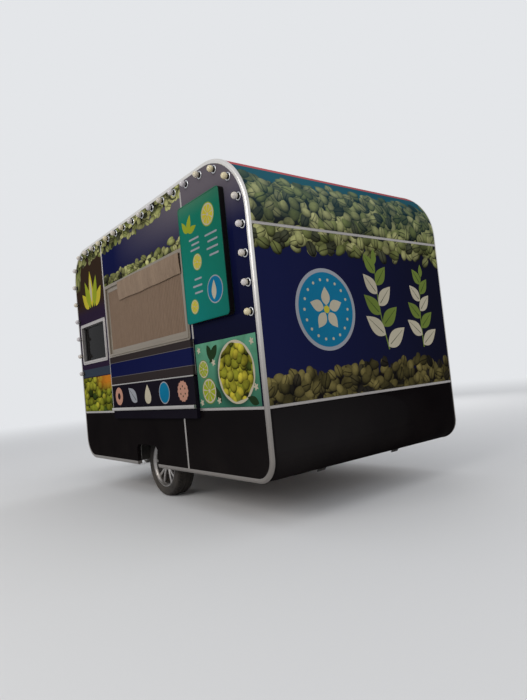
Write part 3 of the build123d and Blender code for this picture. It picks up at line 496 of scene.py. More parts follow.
def side_print(tree, place):
    """Serving side: navy with bean bands under the roofline and above the window, and a brown front panel;
    painted shade darkens the navy towards the foot and a painted sky reflection pales it near the roofline at
    the rear.
    """
    x, y, z = tree.parts(place)
    across = tree.minus(x, front - front_top_radius)
    up = tree.minus(z, roof - front_top_radius)
    out = tree.vector("LENGTH", tree.xyz(tree.math("MAXIMUM", across, 0.0), tree.math("MAXIMUM", up, 0.0)))
    low = tree.math("MINIMUM", tree.math("MAXIMUM", across, up), 0.0)
    depth = tree.minus(front_top_radius, tree.plus(out, low))
    # Painted shade: the navy is darker towards the foot.
    ground = tree.mix(tree.ramp(z, 1.2, 2.3), night, navy)
    # Painted reflection of the sky: a grey-violet sheen near the roofline, strongest towards the rear.
    sky_reflection = tree.times(tree.ramp(z, 2.0, 2.46, smooth=True), tree.ramp(x, -0.1, -1.5, 0.0, 0.75))
    ground = tree.mix(sky_reflection, ground, tint(104, 97, 100))
    ahead = past(tree, x, front_strip)
    upper = tree.mix(tree.ramp(z, 1.86, 2.0, smooth=True), plum, cocoa)
    ground = tree.mix(ahead, ground, upper)
    stretched = tree.times(x, 0.62)
    line = tree.effect(bean_pile, Place=tree.xyz(stretched, depth), Size=0.082, Low=-1.0, High=0.165)
    behind = past(tree, x, rear_strip)
    on_line = tree.times(tree.times(line["Mask"], behind), tree.ramp(z, 2.16, 2.24))
    ground = tree.mix(on_line, ground, line["Color"])
    sill = pane_high.z + 0.03
    ledge = tree.effect(bean_pile, Place=tree.xyz(stretched, z), Size=0.08, Low=sill - 0.2, High=sill + 0.09)
    on_ledge = tree.times(ledge["Mask"], between(tree, x, rear_strip, front_strip))
    on_ledge = tree.times(on_ledge, tree.ramp(z, sill - 0.21, sill - 0.2))
    ground = tree.mix(on_ledge, ground, ledge["Color"])
    picture_top, grey_top = 1.18, 1.275
    grey = tree.times(ahead, between(tree, z, picture_top + 0.01, grey_top))
    ground = tree.mix(grey, ground, tint(48, 56, 68))
    fruit = tree.effect(bean_pile, Place=tree.xyz(tree.times(x, 0.7), z), Size=0.1, Slim=0.9, **shaded_fruit)
    warm = tree.times(tree.ramp(x, 0.66, 0.34), tree.ramp(z, 1.02, 1.12))
    ripe = tree.mix(warm, fruit["Color"], tint(176, 108, 30))
    picture = tree.times(ahead, tree.ramp(z, picture_top - 0.001, picture_top + 0.001, 1.0, 0.0))
    return tree.mix(picture, ground, ripe)


def far_print(tree, place):
    """Far side and its door: navy, a bean pile above the waist, black below it, a band under the roofline."""
    x, y, z = tree.parts(place)
    ground = tree.mix(tree.ramp(z, 0.8, 2.2), night, navy)
    heap = tree.effect(bean_pile, Place=tree.xyz(x, z), High=0.98, **dark_beans)
    ground = tree.mix(heap["Mask"], ground, heap["Color"])
    ground = tree.mix(past(tree, z, waist), tint(17, 14, 15), ground)
    line = tree.effect(bean_pile, Place=tree.xyz(x, tree.minus(roof, z)), Size=0.09, Low=-1.0, High=0.18)
    return tree.mix(line["Mask"], ground, line["Color"])


def front_print(tree, place):
    """Front wall: navy with a bean pile at its foot, lighter towards the roof."""
    x, y, z = tree.parts(place)
    ground = tree.mix(tree.ramp(z, 0.9, 2.6), night, navy)
    heap = tree.effect(bean_pile, Place=tree.xyz(y, z), High=1.02, **dark_beans)
    return tree.mix(heap["Mask"], ground, heap["Color"])


def flap_print(tree, place):
    """Counter flap: a navy band between grey-brown ones, and a pale laminate on the face that turns up."""
    x, y, z = tree.parts(place)
    low, high = flap_low.z + 0.075, flap_high.z - 0.06
    colour = tree.mix(between(tree, z, low, high), board_grey, navy)
    lines = tree.plus(between(tree, z, low - 0.003, low), between(tree, z, high, high + 0.003))
    colour = tree.mix(lines, colour, tint(104, 100, 98))
    return tree.mix(tree.math("LESS_THAN", y, flap_low.y + 0.004), colour, tint(150, 146, 138))


def picture_ground(tree, place):
    """Picture ground: mint, lighter at the top, with soft blotches and the bowl's shadow."""
    x, y, z = tree.parts(place)
    colour = tree.mix(tree.ramp(z, waist, waist + 0.5), tint(42, 88, 72), tint(84, 138, 112))
    blotch = tree.ramp(
        tree.noise(tree.vector("MULTIPLY", place, (1.0, 0.0, 1.0)), 9.0, 2.0), 0.4, 0.62, 0.0, 0.5,
    )
    colour = tree.mix(blotch, colour, tint(58, 104, 78))
    away = tree.xyz(tree.minus(x, rear + 0.335), tree.minus(z, waist + 0.235))
    return tree.mix(
        tree.ramp(tree.vector("LENGTH", away), 0.19, 0.27, 0.75, 0.0, smooth=True), colour, tint(16, 40, 34),
    )


def fruit_print(tree, place):
    """Heap of small round fruit."""
    x, y, z = tree.parts(place)
    heap = tree.effect(bean_pile, Place=tree.xyz(x, z), Size=0.098, Slim=0.84, **ripe_fruit)
    return heap["Color"]


def menu_print(tree, place):
    """Menu box: teal-green, lighter and greyer at the top, with a soft cloudy wash."""
    x, y, z = tree.parts(place)
    colour = tree.mix(tree.ramp(z, menu_low.z, menu_high.z), tint(14, 108, 102), tint(20, 106, 80))
    colour = tree.mix(tree.ramp(z, menu_high.z - 0.12, menu_high.z, 0.0, 0.8), colour, tint(70, 108, 86))
    colour = tree.mix(tree.ramp(x, menu_high.x - 0.15, menu_low.x, 0.0, 0.5), colour, tint(16, 84, 60))
    wash = tree.ramp(tree.noise(place, 2.5), 0.35, 0.7, 0.0, 0.35)
    return tree.mix(wash, colour, tint(16, 86, 82))


def kraft(low, high, pitch, ribbed=False):
    """Kraft board: brown fibres, streaked along the ribs, with painted shade as a dark line in each groove if
    it is ribbed.
    """

    def build(tree, place):
        x, y, z = tree.parts(place)
        streaks = tree.noise(tree.xyz(tree.times(x, pitch), 0.0, tree.times(z, 0.6)), 1.0, 4.0, 0.75)
        fibre = tree.noise(tree.vector("MULTIPLY", place, (9.0, 9.0, 1.2)), 14.0, 4.0, 0.6)
        share = tree.plus(tree.times(streaks, 0.5), tree.times(fibre, 0.5))
        colour = tree.mix(tree.ramp(share, 0.35, 0.65), low, high)
        if not ribbed:
            return colour
        # Painted shade in the grooves of the ribs.
        turn = tree.ramp(x, blind_low.x, blind_high.x, 0.0, ribs * math.pi)
        groove = tree.ramp(tree.math("ABSOLUTE", tree.math("SINE", turn)), 0.0, 0.45, 0.62, 1.0)
        return tree.shaded(colour, groove)

    return build


def ply(tree, place):
    """Coated plywood: long brown figure with darker lines across the plies."""
    figure = tree.noise(tree.vector("MULTIPLY", place, (1.0, 9.0, 9.0)), 6.0, 5.0, 0.6)
    return tree.mix(tree.ramp(figure, 0.35, 0.65), tint(92, 66, 44), tint(140, 106, 74))


def bulb_tint(tree, place):
    """Pearl glass, warm at one side of the globe and cool at the other by chance of place."""
    return tree.mix(tree.ramp(tree.noise(place, 3.0), 0.42, 0.58), tint(226, 212, 172), tint(210, 204, 206))


def corner_painted_sheen(tree, place):
    """Aluminium, grey below the waist and brighter towards the roof: painted reflection of the bright sky
    above and painted shade below.
    """
    height = tree.plus(tree.parts(place)[2], tree.times(tree.noise(place, 3.0), 0.3))
    return tree.mix(tree.ramp(height, 0.7, 2.1, smooth=True), tint(134, 129, 125), tint(214, 211, 207))


gloss = dict(grain=420.0, bump=0.04, lacquer=0.2, Coat_Roughness=0.1, Specular_IOR_Level=0.0)
lining = panel - 0.0015
# All finishes: name, paint, smoothest and roughest, and what differs from the usual
finish_of("rear_vinyl", rear_print, 0.24, 0.38, dust=0.1, lined=lining, **gloss)
finish_of("side_vinyl", side_print, 0.22, 0.36, dust=0.1, lined=lining, **gloss)
finish_of("far_vinyl", far_print, 0.24, 0.38, dust=0.1, lined=lining, **gloss)
finish_of("door_vinyl", far_print, 0.24, 0.38, dust=0.1, lined=0.025, **gloss)
finish_of("front_vinyl", front_print, 0.24, 0.4, dust=0.12, lined=lining, **gloss)
finish_of("flap_vinyl", flap_print, 0.24, 0.38, dust=0.08, **gloss)
finish_of("fascia_vinyl", tint(20, 17, 26), 0.24, 0.4, dust=0.08, **gloss)
finish_of("black_gloss", tint(17, 14, 15), 0.14, 0.26, dust=0.05, lined=lining, **{**gloss, "lacquer": 0.18})
finish_of("menu_vinyl", menu_print, 0.3, 0.42, dust=0.05, **gloss)
finish_of(
    "trim_silver", tint(176, 173, 170), 0.24, 0.4, metal=0.8, grain=120.0, stretch=(40, 1, 40), dust=0.5,
)
finish_of("corner_silver", corner_painted_sheen, 0.24, 0.4, metal=0.8, grain=120.0, stretch=(40, 1, 40), dust=0.4)
finish_of(
    "strip_silver", tint(172, 167, 164), 0.3, 0.46, metal=0.7, grain=120.0, stretch=(40, 1, 40), dust=0.5,
)
finish_of("frame_grey", tint(128, 118, 104), 0.34, 0.5, metal=0.3, grain=160.0, dust=0.15)
finish_of(
    "kraft_board", kraft(tint(103, 84, 68), tint(121, 100, 82), 38.0, ribbed=True), 0.75, 0.9, grain=200.0,
    stretch=(1, 1, 0.1), bump=0.3, dust=0.1, Specular_IOR_Level=0.25,
)
finish_of(
    "kraft_flap", kraft(tint(110, 92, 76), tint(134, 114, 95), 8.0), 0.75, 0.9, grain=200.0,
    stretch=(0.1, 1, 1), bump=0.3, dust=0.1, Specular_IOR_Level=0.25,
)
finish_of("pearl_glass", bulb_tint, 0.06, 0.14, dust=0.0, Transmission_Weight=0.25, IOR=1.45, Coat_Weight=0.6)
finish_of("floor_ply", ply, 0.5, 0.7, grain=150.0, stretch=(0.05, 1, 1), bump=0.3)
finish_of(
    "chassis_paint", tint(27, 27, 29), 0.4, 0.6, grain=200.0, bump=0.25, dust=0.45, Specular_IOR_Level=0.3,
)
finish_of("zinc", tint(168, 170, 172), 0.28, 0.5, metal=0.85, grain=40.0, bump=0.15, dust=0.5)
finish_of("box_sheet", tint(24, 23, 24), 0.5, 0.7, grain=160.0, bump=0.3, dust=0.4, Specular_IOR_Level=0.2)
finish_of(
    "steel_top", tint(176, 176, 178), 0.24, 0.42, metal=1.0, grain=30.0, stretch=(0.5, 30, 30), dust=0.0,
)
finish_of(
    "tyre_rubber", tint(27, 25, 25), 0.7, 0.9, grain=500.0, bump=0.35, dust=0.35, Specular_IOR_Level=0.3,
)
finish_of("alloy", tint(164, 162, 162), 0.22, 0.38, metal=0.8, grain=200.0, dust=0.8, Coat_Weight=0.2)
finish_of("drum_iron", tint(66, 56, 50), 0.6, 0.85, metal=0.5, grain=90.0, bump=0.5, dust=0.8)
finish_of("black_rubber", tint(30, 30, 31), 0.6, 0.8, grain=400.0, bump=0.25, dust=0.6)
finish_of("vent_white", tint(205, 204, 198), 0.35, 0.5, grain=250.0, bump=0.2, dust=0.2)
finish_of("chrome", tint(205, 206, 208), 0.1, 0.22, metal=1.0, grain=60.0, bump=0.02, dust=0.1)
finish_of(
    "socket_black", tint(18, 15, 15), 0.35, 0.5, grain=300.0, bump=0.1, dust=0.05, Specular_IOR_Level=0.2,
)
finish_of("fruit_heap", fruit_print, 0.26, 0.4, dust=0.05, **gloss)
finish_of("roof_white", tint(196, 194, 190), 0.4, 0.6, grain=150.0, bump=0.15, dust=0.3)
for name, colour in (
    ("cream", tint(172, 164, 144)),
    ("leaf_green", tint(98, 114, 50)),
    ("lime_green", tint(136, 146, 40)),
    ("sun_yellow", tint(178, 166, 52)),
    ("badge_blue", tint(14, 104, 138)),
    ("pale_line", tint(142, 144, 150)),
    ("picture_teal", picture_ground),
    ("peach", tint(172, 128, 110)),
    ("deep_green", tint(30, 50, 28)),
):
    finish_of("ink_" + name, colour, 0.26, 0.4, dust=0.05, **gloss)

glass, glass_tree, glass_shader = blank("window_glass")
glass_dust = glass_tree.effect(road_dust, Place=glass_tree.place(), Amount=0.2)["Mask"]
# Painted shade: the near-black glass colour stands in for the dark inside seen through the pane; the dust
# over it is lighter.
glass_tree.put(
    glass_shader.inputs["Base Color"], glass_tree.mix(glass_dust, tint(20, 17, 17), tint(70, 66, 62)),
)
glass_tree.put(glass_shader.inputs["Roughness"], glass_tree.ramp(glass_dust, 0.0, 1.0, 0.03, 0.5))
glass_shader.inputs["Transmission Weight"].default_value = 0.7
glass_shader.inputs["Specular IOR Level"].default_value = 0.05
glass_shader.inputs["IOR"].default_value = 1.12
finishes["window_glass"] = glass


# Shapes
def grid(points, around=False, along=False, capped=False):
    """Net of four-sided faces through rows and columns of points, closed round either of them, or capped."""
    rows, columns = points.shape[:2]
    number = np.arange(rows * columns).reshape(rows, columns)
    caps = [number[0][::-1].tolist(), number[-1].tolist()] if capped else []
    if along:
        number = np.vstack([number, number[:1]])
    if around:
        number = np.hstack([number, number[:, :1]])
    quads = np.stack([number[:-1, :-1], number[:-1, 1:], number[1:, 1:], number[1:, :-1]], -1)
    return points.reshape(-1, 3), quads.reshape(-1, 4).tolist() + caps


def spread(x, y, z):
    """Points whose three coordinates are spread over each other."""
    return np.stack(np.broadcast_arrays(x, y, z), -1)


def joined(shapes):
    """Several shapes as one set of corners and faces."""
    points, faces, start = [], [], 0
    for corners, sides in shapes:
        points.append(corners)
        faces += [[start + n for n in face] for face in sides]
        start += len(corners)
    return np.concatenate(points), faces


def piece(name, shapes, finish, body="body", stands_for=(), closed=True, crease=32.0):
    """Mesh object of some shapes that rides on a body, smooth except at creases sharper than the angle."""
    points, faces = joined(shapes)
    mesh = bpy.data.meshes.new(name)
    mesh.from_pydata(points.tolist(), [], faces)
    if closed:
        work = bmesh.new()
        work.from_mesh(mesh)
        bmesh.ops.remove_doubles(work, verts=work.verts, dist=1e-6)
        bmesh.ops.recalc_face_normals(work, faces=work.faces)
        work.to_mesh(mesh)
        work.free()
    mesh.shade_smooth()
    mesh.set_sharp_from_angle(angle=math.radians(crease))
    mesh.materials.append(finishes[finish])
    made = added(name, mesh)
    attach(made, body)
    if stands_for:
        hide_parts(*stands_for)
    return made


def turned(profile, centre, axis, steps=64, closed=False):
    """Profile of (along, radius) spun round an axis: point = centre + along * axis + radius * (cos, sin)."""
    profile = np.asarray(profile, float)
    axis = np.asarray(axis, float)
    first = np.cross(axis, (0.0, 0.0, 1.0) if abs(axis[2]) < 0.9 else (1.0, 0.0, 0.0))
    first /= np.linalg.norm(first)
    second = np.cross(axis, first)
    angle = np.linspace(0, math.tau, steps, endpoint=False)
    ring = np.cos(angle)[:, None] * first + np.sin(angle)[:, None] * second
    points = np.asarray(centre) + profile[:, None, :1] * axis + profile[:, None, 1:] * ring
    return grid(points, around=True, along=closed)


def rounded(x0, x1, z0, z1, radius, steps=8):
    """Rectangle with round corners: each corner is its centre + radius * (cos, sin) over a quarter turn."""
    angle = np.linspace(0, math.pi / 2, steps)
    centres = [
        (x1 - radius, z1 - radius), (x0 + radius, z1 - radius), (x0 + radius, z0 + radius),
        (x1 - radius, z0 + radius),
    ]
    turn = np.concatenate([angle + k * math.pi / 2 for k in range(4)])
    return np.repeat(centres, steps, axis=0) + radius * np.stack([np.cos(turn), np.sin(turn)], -1)


def on_side(u, v, out):
    """Place on the serving side: length, height and how far outward."""
    return spread(u, side + out, v)


def on_far(u, v, out):
    """Place on the far side: length, height and how far outward."""
    return spread(u, -side - out, v)


def on_rear(u, v, out):
    """Place on the rear face: width, height and how far outward."""
    return spread(rear - out, u, v)


def framed(edge, profile, where, steps=8, capped=False, closed=True):
    """Profile of (inset, out) carried round a rounded rectangle, edge = (x0, x1, z0, z1, radius).

    Each point of the profile gives one ring: the rectangle drawn in by the inset, at that height.
    """
    x0, x1, z0, z1, radius = edge
    rings = [rounded(x0 + i, x1 - i, z0 + i, z1 - i, max(radius - i, 0.002), steps) for i, _ in profile]
    outs = np.array([out for _, out in profile])[:, None]
    net = np.stack(rings)
    return grid(where(net[..., 0], net[..., 1], outs), around=True, along=closed, capped=capped)


ink_foot = -0.0002


def inked(shape, where, high):
    """Thin flat film: the outline at its face and again a hair below the panel."""
    shape = np.asarray(shape)
    levels = np.array([ink_foot, high])[:, None]
    return grid(where(shape[None, :, 0], shape[None, :, 1], levels), around=True, capped=True)


def disc(u, v, radius, steps=48, wave=0.0, waves=0):
    """Round form: radius * (1 + wave * cos(waves * angle))."""
    angle = np.linspace(0, math.tau, steps, endpoint=False)
    reach = radius * (1 + wave * np.cos(waves * angle))
    return np.stack([u + reach * np.cos(angle), v + reach * np.sin(angle)], -1)


def leaf(u, v, length, width, turn):
    """Pointed leaf from its stalk, turned about it by degrees: half width = width / 2 * sin(pi t ** 0.8)."""
    t = np.linspace(0, 1, 20)
    half = width / 2 * np.sin(math.pi * t**0.8)
    along = np.concatenate([t, t[-2:0:-1]]) * length
    across = np.concatenate([half, -half[-2:0:-1]])
    c, s = math.cos(math.radians(turn)), math.sin(math.radians(turn))
    return np.stack([u + c * along - s * across, v + s * along + c * across], -1)


def ribbon(points, widths):
    """Flat band along a line of points: each side lies half the width off the line, square to it."""
    points = np.asarray(points, float)
    run = np.gradient(points, axis=0)
    run /= np.linalg.norm(run, axis=1)[:, None]
    off = np.stack([-run[:, 1], run[:, 0]], -1) * np.asarray(widths)[:, None] / 2
    return np.concatenate([points + off, (points - off)[::-1]])


def wedge(u, v, inside, outside, start, stop, steps=8):
    """Part of a ring between two angles in degrees: (u, v) + inside or outside * (cos, sin)."""
    angle = np.radians(np.linspace(start, stop, steps))
    way = np.stack([np.cos(angle), np.sin(angle)], -1)
    return np.concatenate([inside * way, outside * way[::-1]]) + (u, v)


def dome_heads(places, way, radius=0.004, high=0.0018):
    """Low round head at each place: the profile falls from its middle as a quarter ellipse."""
    a = np.radians(np.linspace(0, 90, 4))
    profile = np.stack([high * np.sin(a), radius * np.cos(a)], -1)
    profile = np.concatenate([[(-0.0005, 0.0), (-0.0005, radius)], profile])
    return [turned(profile, place, way, 8) for place in places]


# Side outline of the body, front way round, from the wheel arch to the wheel arch
corner_steps = 28
quarter = np.linspace(0, math.pi / 2, corner_steps)
front_low_corner = (front - front_low_radius, under + front_low_radius, front_low_radius)
front_top_corner = (front - front_top_radius, roof - front_top_radius, front_top_radius)
rear_top_corner = (rear + rear_top_radius, roof - rear_top_radius, rear_top_radius)
rear_low_corner = (rear + rear_low_radius, under + rear_low_radius, rear_low_radius)
corners = (front_low_corner, front_top_corner, rear_top_corner, rear_low_corner)
outline_points = [np.array([[arch_high, under]])]
outline_ways = [np.array([[0.0, -1.0]])]
for first, (x, z, radius) in enumerate(corners, -1):
    angle = quarter + first * math.pi / 2
    way = np.stack([np.cos(angle), np.sin(angle)], -1)
    outline_points.append(np.array([x, z]) + radius * way)
    outline_ways.append(way)
outline_points = np.concatenate([*outline_points, [[arch_low, under]]])
outline_ways = np.concatenate([*outline_ways, [[0.0, -1.0]]])


def carried_round(profile, hand, points=outline_points, ways=outline_ways):
    """Profile of (outward, across) carried along the side outline, or a run of it, on the side of the hand.

    Each place is a point of the outline + outward * its way, at across from the centre line.
    """
    profile = np.asarray(profile, float)
    net = points[:, None] + profile[None, :, :1] * ways[:, None]
    return grid(spread(net[..., 0], hand * profile[:, 1], net[..., 1]), around=True, capped=True)


# Corner extrusion: a rolled outer edge with a bead along each lip
bend = np.radians(np.linspace(0, 90, 12))
roll, proud = 0.019, 0.003
trim_face, leg_foot = trim_out - 0.0006, inner + 0.020
trim_profile = [
    (-0.031, inner), (-0.031, side + 0.0012), (-0.0275, trim_out - 0.0002), (-0.0225, trim_out - 0.0002),
]
trim_profile += [(-0.021, trim_out - 0.0016), (proud - roll, trim_face)]
trim_profile += [(proud - roll + roll * math.sin(a), trim_face - roll + roll * math.cos(a)) for a in bend[1:]]
trim_profile += [(proud, leg_foot + 0.003), (0.0024, leg_foot + 0.001), (0.0018, leg_foot)]
trim_profile += [(-0.0036, leg_foot), (-0.0036, inner)]
for name, hand in (("serving", 1), ("far", -1)):
    piece(
        "corner_extrusion_" + name, [carried_round(trim_profile, hand)], "corner_silver",
        stands_for=["trim_" + name], crease=24,
    )

# Returned edges of the skins, which run on under the foot of the corner extrusion
return_profile = [(-0.0034, inner), (0.0, inner), (0.0, leg_foot + 0.0004), (-0.0034, leg_foot + 0.0004)]
turns = [slice(1 + corner_steps * k, 1 + corner_steps * (k + 1)) for k in range(4)]
outline = np.hstack([outline_points, outline_ways])
rear_waist, front_waist = [[rear, waist, -1.0, 0.0]], [[front, waist, 1.0, 0.0]]
roof_run = [turns[1].stop - 1, turns[2].start]
returns = (
    # name, finish, slot, places and ways of the run
    ("rear_return", "rear_vinyl", "navy_panel", (outline[turns[2]], rear_waist)),
    ("rear_skirt_return", "black_gloss", "black_panel", (rear_waist, outline[turns[3]])),
    ("front_return", "front_vinyl", "navy_panel", (front_waist, outline[turns[1]])),
    ("front_skirt_return", "black_gloss", "black_panel", (outline[turns[0]], front_waist)),
    ("roof_return", "roof_white", "silver_trim", (outline[roof_run],)),
)
for name, finish, slot, run in returns:
    places, ways = np.split(np.vstack(run), 2, axis=1)
    edges = [carried_round(return_profile, hand, places, ways) for hand in (1, -1)]
    piece(name, edges, finish)


def wrapped_sheet(name, points, finish, widths=(-1.0, 1.0), notch=None):
    """Skin round the outline: a run of the outline by the full width, given its wall by a modifier."""
    corners, faces = grid(spread(points[:, None, 0], np.array(widths) * inner, points[:, None, 1]))
    if notch is not None:
        middle = np.array([corners[face].mean(0) for face in faces])
        kept = ~notch(middle)
        faces = [face for face, keep in zip(faces, kept) if keep]
    made = piece(name, [(corners, faces)], finish, closed=False)
    wall = made.modifiers.new("wall", "SOLIDIFY")
    wall.thickness, wall.offset, wall.use_even_offset = panel - 0.0002, -1.0, True
    return made


def arc(x, z, radius, first, last, steps=32):
    """Points of the outline round one corner, between two angles in degrees: centre + radius * (cos, sin)."""
    angle = np.radians(np.linspace(first, last, steps))
    return np.stack([x + radius * np.cos(angle), z + radius * np.sin(angle)], -1)


rear_cowl_line = np.concatenate([arc(*rear_top_corner, 90, 180, 40), [[rear, seam]]])
rear_skirt_line = np.concatenate([[[rear, waist]], arc(*rear_low_corner, 180, 270)])
front_wall_line = np.concatenate([[[front, waist]], arc(*front_top_corner, 0, 90)])

# Front skirt with two notches for the drawbar, whose beams run from one place to another off the centre line
beam_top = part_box("drawbar")[1].z
beam_foot, beam_nose = (0.55, 0.430), (2.16, 0.027)
notch_z, notch_half = 0.428, 0.033
notch_turn = math.degrees(math.asin((notch_z - under) / front_low_radius - 1))
low_arc, high_arc = arc(*front_low_corner, -90, notch_turn, 24), arc(*front_low_corner, notch_turn, 0, 12)
front_skirt_line = np.concatenate([low_arc, high_arc[1:], [[front, waist]]])


def beam_middle(x):
    """How far a drawbar beam lies from the centre line at this length."""
    return beam_foot[1] - (beam_foot[1] - beam_nose[1]) / (beam_nose[0] - beam_foot[0]) * (x - beam_foot[0])


def in_notch(middle):
    """Faces of the front skirt that make way for the two drawbar beams."""
    near = np.abs(np.abs(middle[:, 1]) - beam_middle(middle[:, 0])) < notch_half
    return near & (middle[:, 2] < notch_z)


fine_widths = np.unique(np.concatenate([[-1.0, 1.0], np.linspace(-0.47, 0.47, 189)]))
wrapped_sheet("rear_cowl_skin", rear_cowl_line, "rear_vinyl")
wrapped_sheet("rear_skirt_skin", rear_skirt_line, "black_gloss")
wrapped_sheet("front_wall_skin", front_wall_line, "front_vinyl")
wrapped_sheet("front_skirt_skin", front_skirt_line, "black_gloss", fine_widths, in_notch)
for node in ("rear_cowl", "rear_skirt", "front_wall", "front_skirt"):
    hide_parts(node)

# Window frames: an outer flange, a raised rounded bead and the reveal back to the glass
frame_lap, reveal_foot = 0.015, -0.040
frame_profile = [
    (-0.020, -0.002), (-0.020, 0.0045), (-0.0185, 0.006), (-0.006, 0.006), (-0.004, 0.0075), (-0.004, 0.0105),
    (-0.0025, 0.012), (0.0125, 0.012), (frame_lap, 0.0095), (frame_lap, reveal_foot), (0.0002, reveal_foot),
    (0.0002, -0.002),
]
windows = (
    # name, pane, finish and slot of its frame
    ("serving_window", pane_low, pane_high, "frame_grey", "frame_metal"),
    ("front_window", small_low, small_high, "strip_silver", "silver_trim"),
)
for name, low, high, finish, slot in windows:
    hole = (low.x - frame_lap, high.x + frame_lap, low.z - frame_lap, high.z + frame_lap)
    surround = framed((*hole, 0.0015), frame_profile, on_side, 6)
    piece(name + "_surround", [surround], finish, stands_for=[name + "_frame"])

# Rubber glazing seal inside each frame
seal_profile = [(0.0, -0.029), (0.0, -0.022), (0.002, -0.020), (0.008, -0.024), (0.009, -0.0299)]
slack = 0.0002
for name, low, high, _, _ in windows:
    edge = (low.x + slack, high.x - slack, low.z + slack, high.z - slack, 0.006)
    piece(name + "_seal", [framed(edge, seal_profile, on_side, 4)], "black_rubber")

# Blind: a board of upright ribs, each rib a raised half wave
across = np.linspace(blind_low.x, blind_high.x, ribs * 10 + 1)
upward = np.linspace(blind_low.z, blind_high.z, 9)
phase = (across - blind_low.x) / (blind_high.x - blind_low.x) * ribs * math.pi
ripple = 0.0045 * np.abs(np.sin(phase)) ** 0.7
drift = 0.0008 * np.sin(across * 9.0)[None] * np.sin(upward * 6.0)[:, None]
outer = spread(across[None], blind_high.y - 0.0055 + ripple[None] + drift, upward[:, None])
back = outer.copy()
back[..., 1] = blind_low.y
net = np.concatenate([outer, back[::-1]])
ends = [grid(np.stack([outer[:, end], back[:, end]])) for end in (0, -1)]
board = [grid(net, along=True), *ends]
piece("ribbed_board", board, "kraft_board", stands_for=["blind"], crease=60)

# Flat border of the board, inside the window frame
border = (pane_low.x, pane_high.x, pane_low.z, pane_high.z, 0.002)
border_out = blind_high.y - side
border_profile = [
    (0.0, border_out - 0.006), (0.0, border_out + 0.0012), (0.0385, border_out + 0.0016), (0.040, border_out),
    (0.040, border_out - 0.006),
]
piece("board_border", [framed(border, border_profile, on_side, 3)], "frame_grey")

# Folded top flap of the board: its head lies over the frame, its wavy foot hangs clear of the ribs
flap_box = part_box("pelmet")
u = np.linspace(0, 1, 61)
v = np.linspace(0, 1, 17)
x = flap_box[0].x + (flap_box[1].x - flap_box[0].x) * u
foot = flap_box[0].z + 0.004 + 0.002 * np.sin(17 * u) + 0.002 * np.sin(6.5 * u + 1)
brow = flap_box[1].z + 0.006 + 0.010 * u + 0.0015 * np.sin(11 * u)
height = foot[None] + (brow - foot)[None] * v[:, None]
sway = 0.7 + 0.3 * np.sin(5 * u + 0.6)
bulge = 0.009 + 0.0112 * v[:, None] ** 0.6 + 0.0035 * np.sin(math.pi * v)[:, None] * sway
depth = flap_box[0].y + bulge
face = spread(x[None], depth, height)
hidden = face.copy()
hidden[..., 1] -= 0.0045
ends = [grid(np.stack([face[:, end], hidden[:, end]])) for end in (0, -1)]
board_flap = [grid(np.concatenate([face, hidden[::-1]]), along=True), *ends]
piece("board_flap", board_flap, "kraft_flap", stands_for=["pelmet"], crease=50)

# Menu light box: rounded case with a rolled edge, a sunk printed face and a dark band round its side
menu_edge = (menu_low.x, menu_high.x, menu_low.z, menu_high.z, 0.030)
menu_out = menu_high.y - side
menu_sunk = menu_out - 0.0032
case_profile = [
    (0.0, 0.0), (0.0, menu_out - 0.004), (0.0012, menu_out - 0.0012), (0.004, menu_out), (0.0065, menu_out),
    (0.008, menu_out - 0.003), (0.008, 0.0),
]
printed = framed(menu_edge, [(0.0081, 0.002), (0.0081, menu_sunk)], on_side, capped=True, closed=False)
rim = menu_out - 0.006
band_profile = [(-0.0004, 0.001), (-0.0004, rim), (0.0005, rim), (0.0005, 0.001)]
piece(
    "menu_case", [framed(menu_edge, case_profile, on_side)], "menu_vinyl", "body", ["menu_box"],
)
piece("menu_face", [printed], "menu_vinyl")
piece("menu_return", [framed(menu_edge, band_profile, on_side)], "socket_black")

# Counter unit: rounded fascia and flap with a dark return at their edges
for name, finish, low, high, body in (
    ("counter_fascia", "fascia_vinyl", unit_low, unit_high, "body"),
    ("counter_flap", "flap_vinyl", flap_low, flap_high, "counter_flap"),
):
    foot = low.y - side
    rim = high.y - side
    edge = (low.x, high.x, low.z, high.z, 0.006)
    profile = [(0.0, foot), (0.0, rim - 0.003), (0.0009, rim - 0.0009), (0.003, rim)]
    board = framed(edge, profile, on_side, capped=True, closed=False)
    piece(name + "_board", [board], finish, body, [name])

# Counter rails: the hinge rod with its knuckles and the rounded bar below the printed row
rod_z, rod_y = (unit_high.z + flap_low.z) / 2, unit_high.y
knuckle, joint = 0.0058, 0.0050
bar_low, bar_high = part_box("counter_rails")[0].z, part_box("counter_rails")[0].z + 0.030
bar_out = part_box("counter_rails")[1].y
bar_bend, bar_middle = 0.006, (bar_low + bar_high) / 2
bar_turn = np.radians([a for a in range(-90, 91, 15) if a])
bent_y = bar_out - bar_bend + bar_bend * np.cos(bar_turn)
bent_z = bar_middle + (0.009 + bar_bend * abs(np.sin(bar_turn))) * np.sign(bar_turn)
bar_foot = [(rod_y - 0.0005, bar_low), (bar_out - bar_bend, bar_low)]
bar_head = [(bar_out - bar_bend, bar_high), (rod_y - 0.0005, bar_high)]
bar_profile = np.concatenate([bar_foot, np.stack([bent_y, bent_z], -1), bar_head])
bar_ends = np.array([unit_low.x, unit_low.x + 0.002, unit_high.x - 0.002, unit_high.x])
bar_net = spread(bar_ends[:, None], bar_profile[None, :, 0], bar_profile[None, :, 1])
rod_profile = [(0.0, 0.0), (0.0, knuckle - 0.001), (0.001, knuckle)]
rod_length = unit_high.x - unit_low.x
knuckles = round(rod_length / 0.1)
for k in range(1, knuckles):
    at = rod_length * k / knuckles
    rod_profile += [(at - 0.001, knuckle), (at - 0.0005, joint), (at + 0.0005, joint), (at + 0.001, knuckle)]
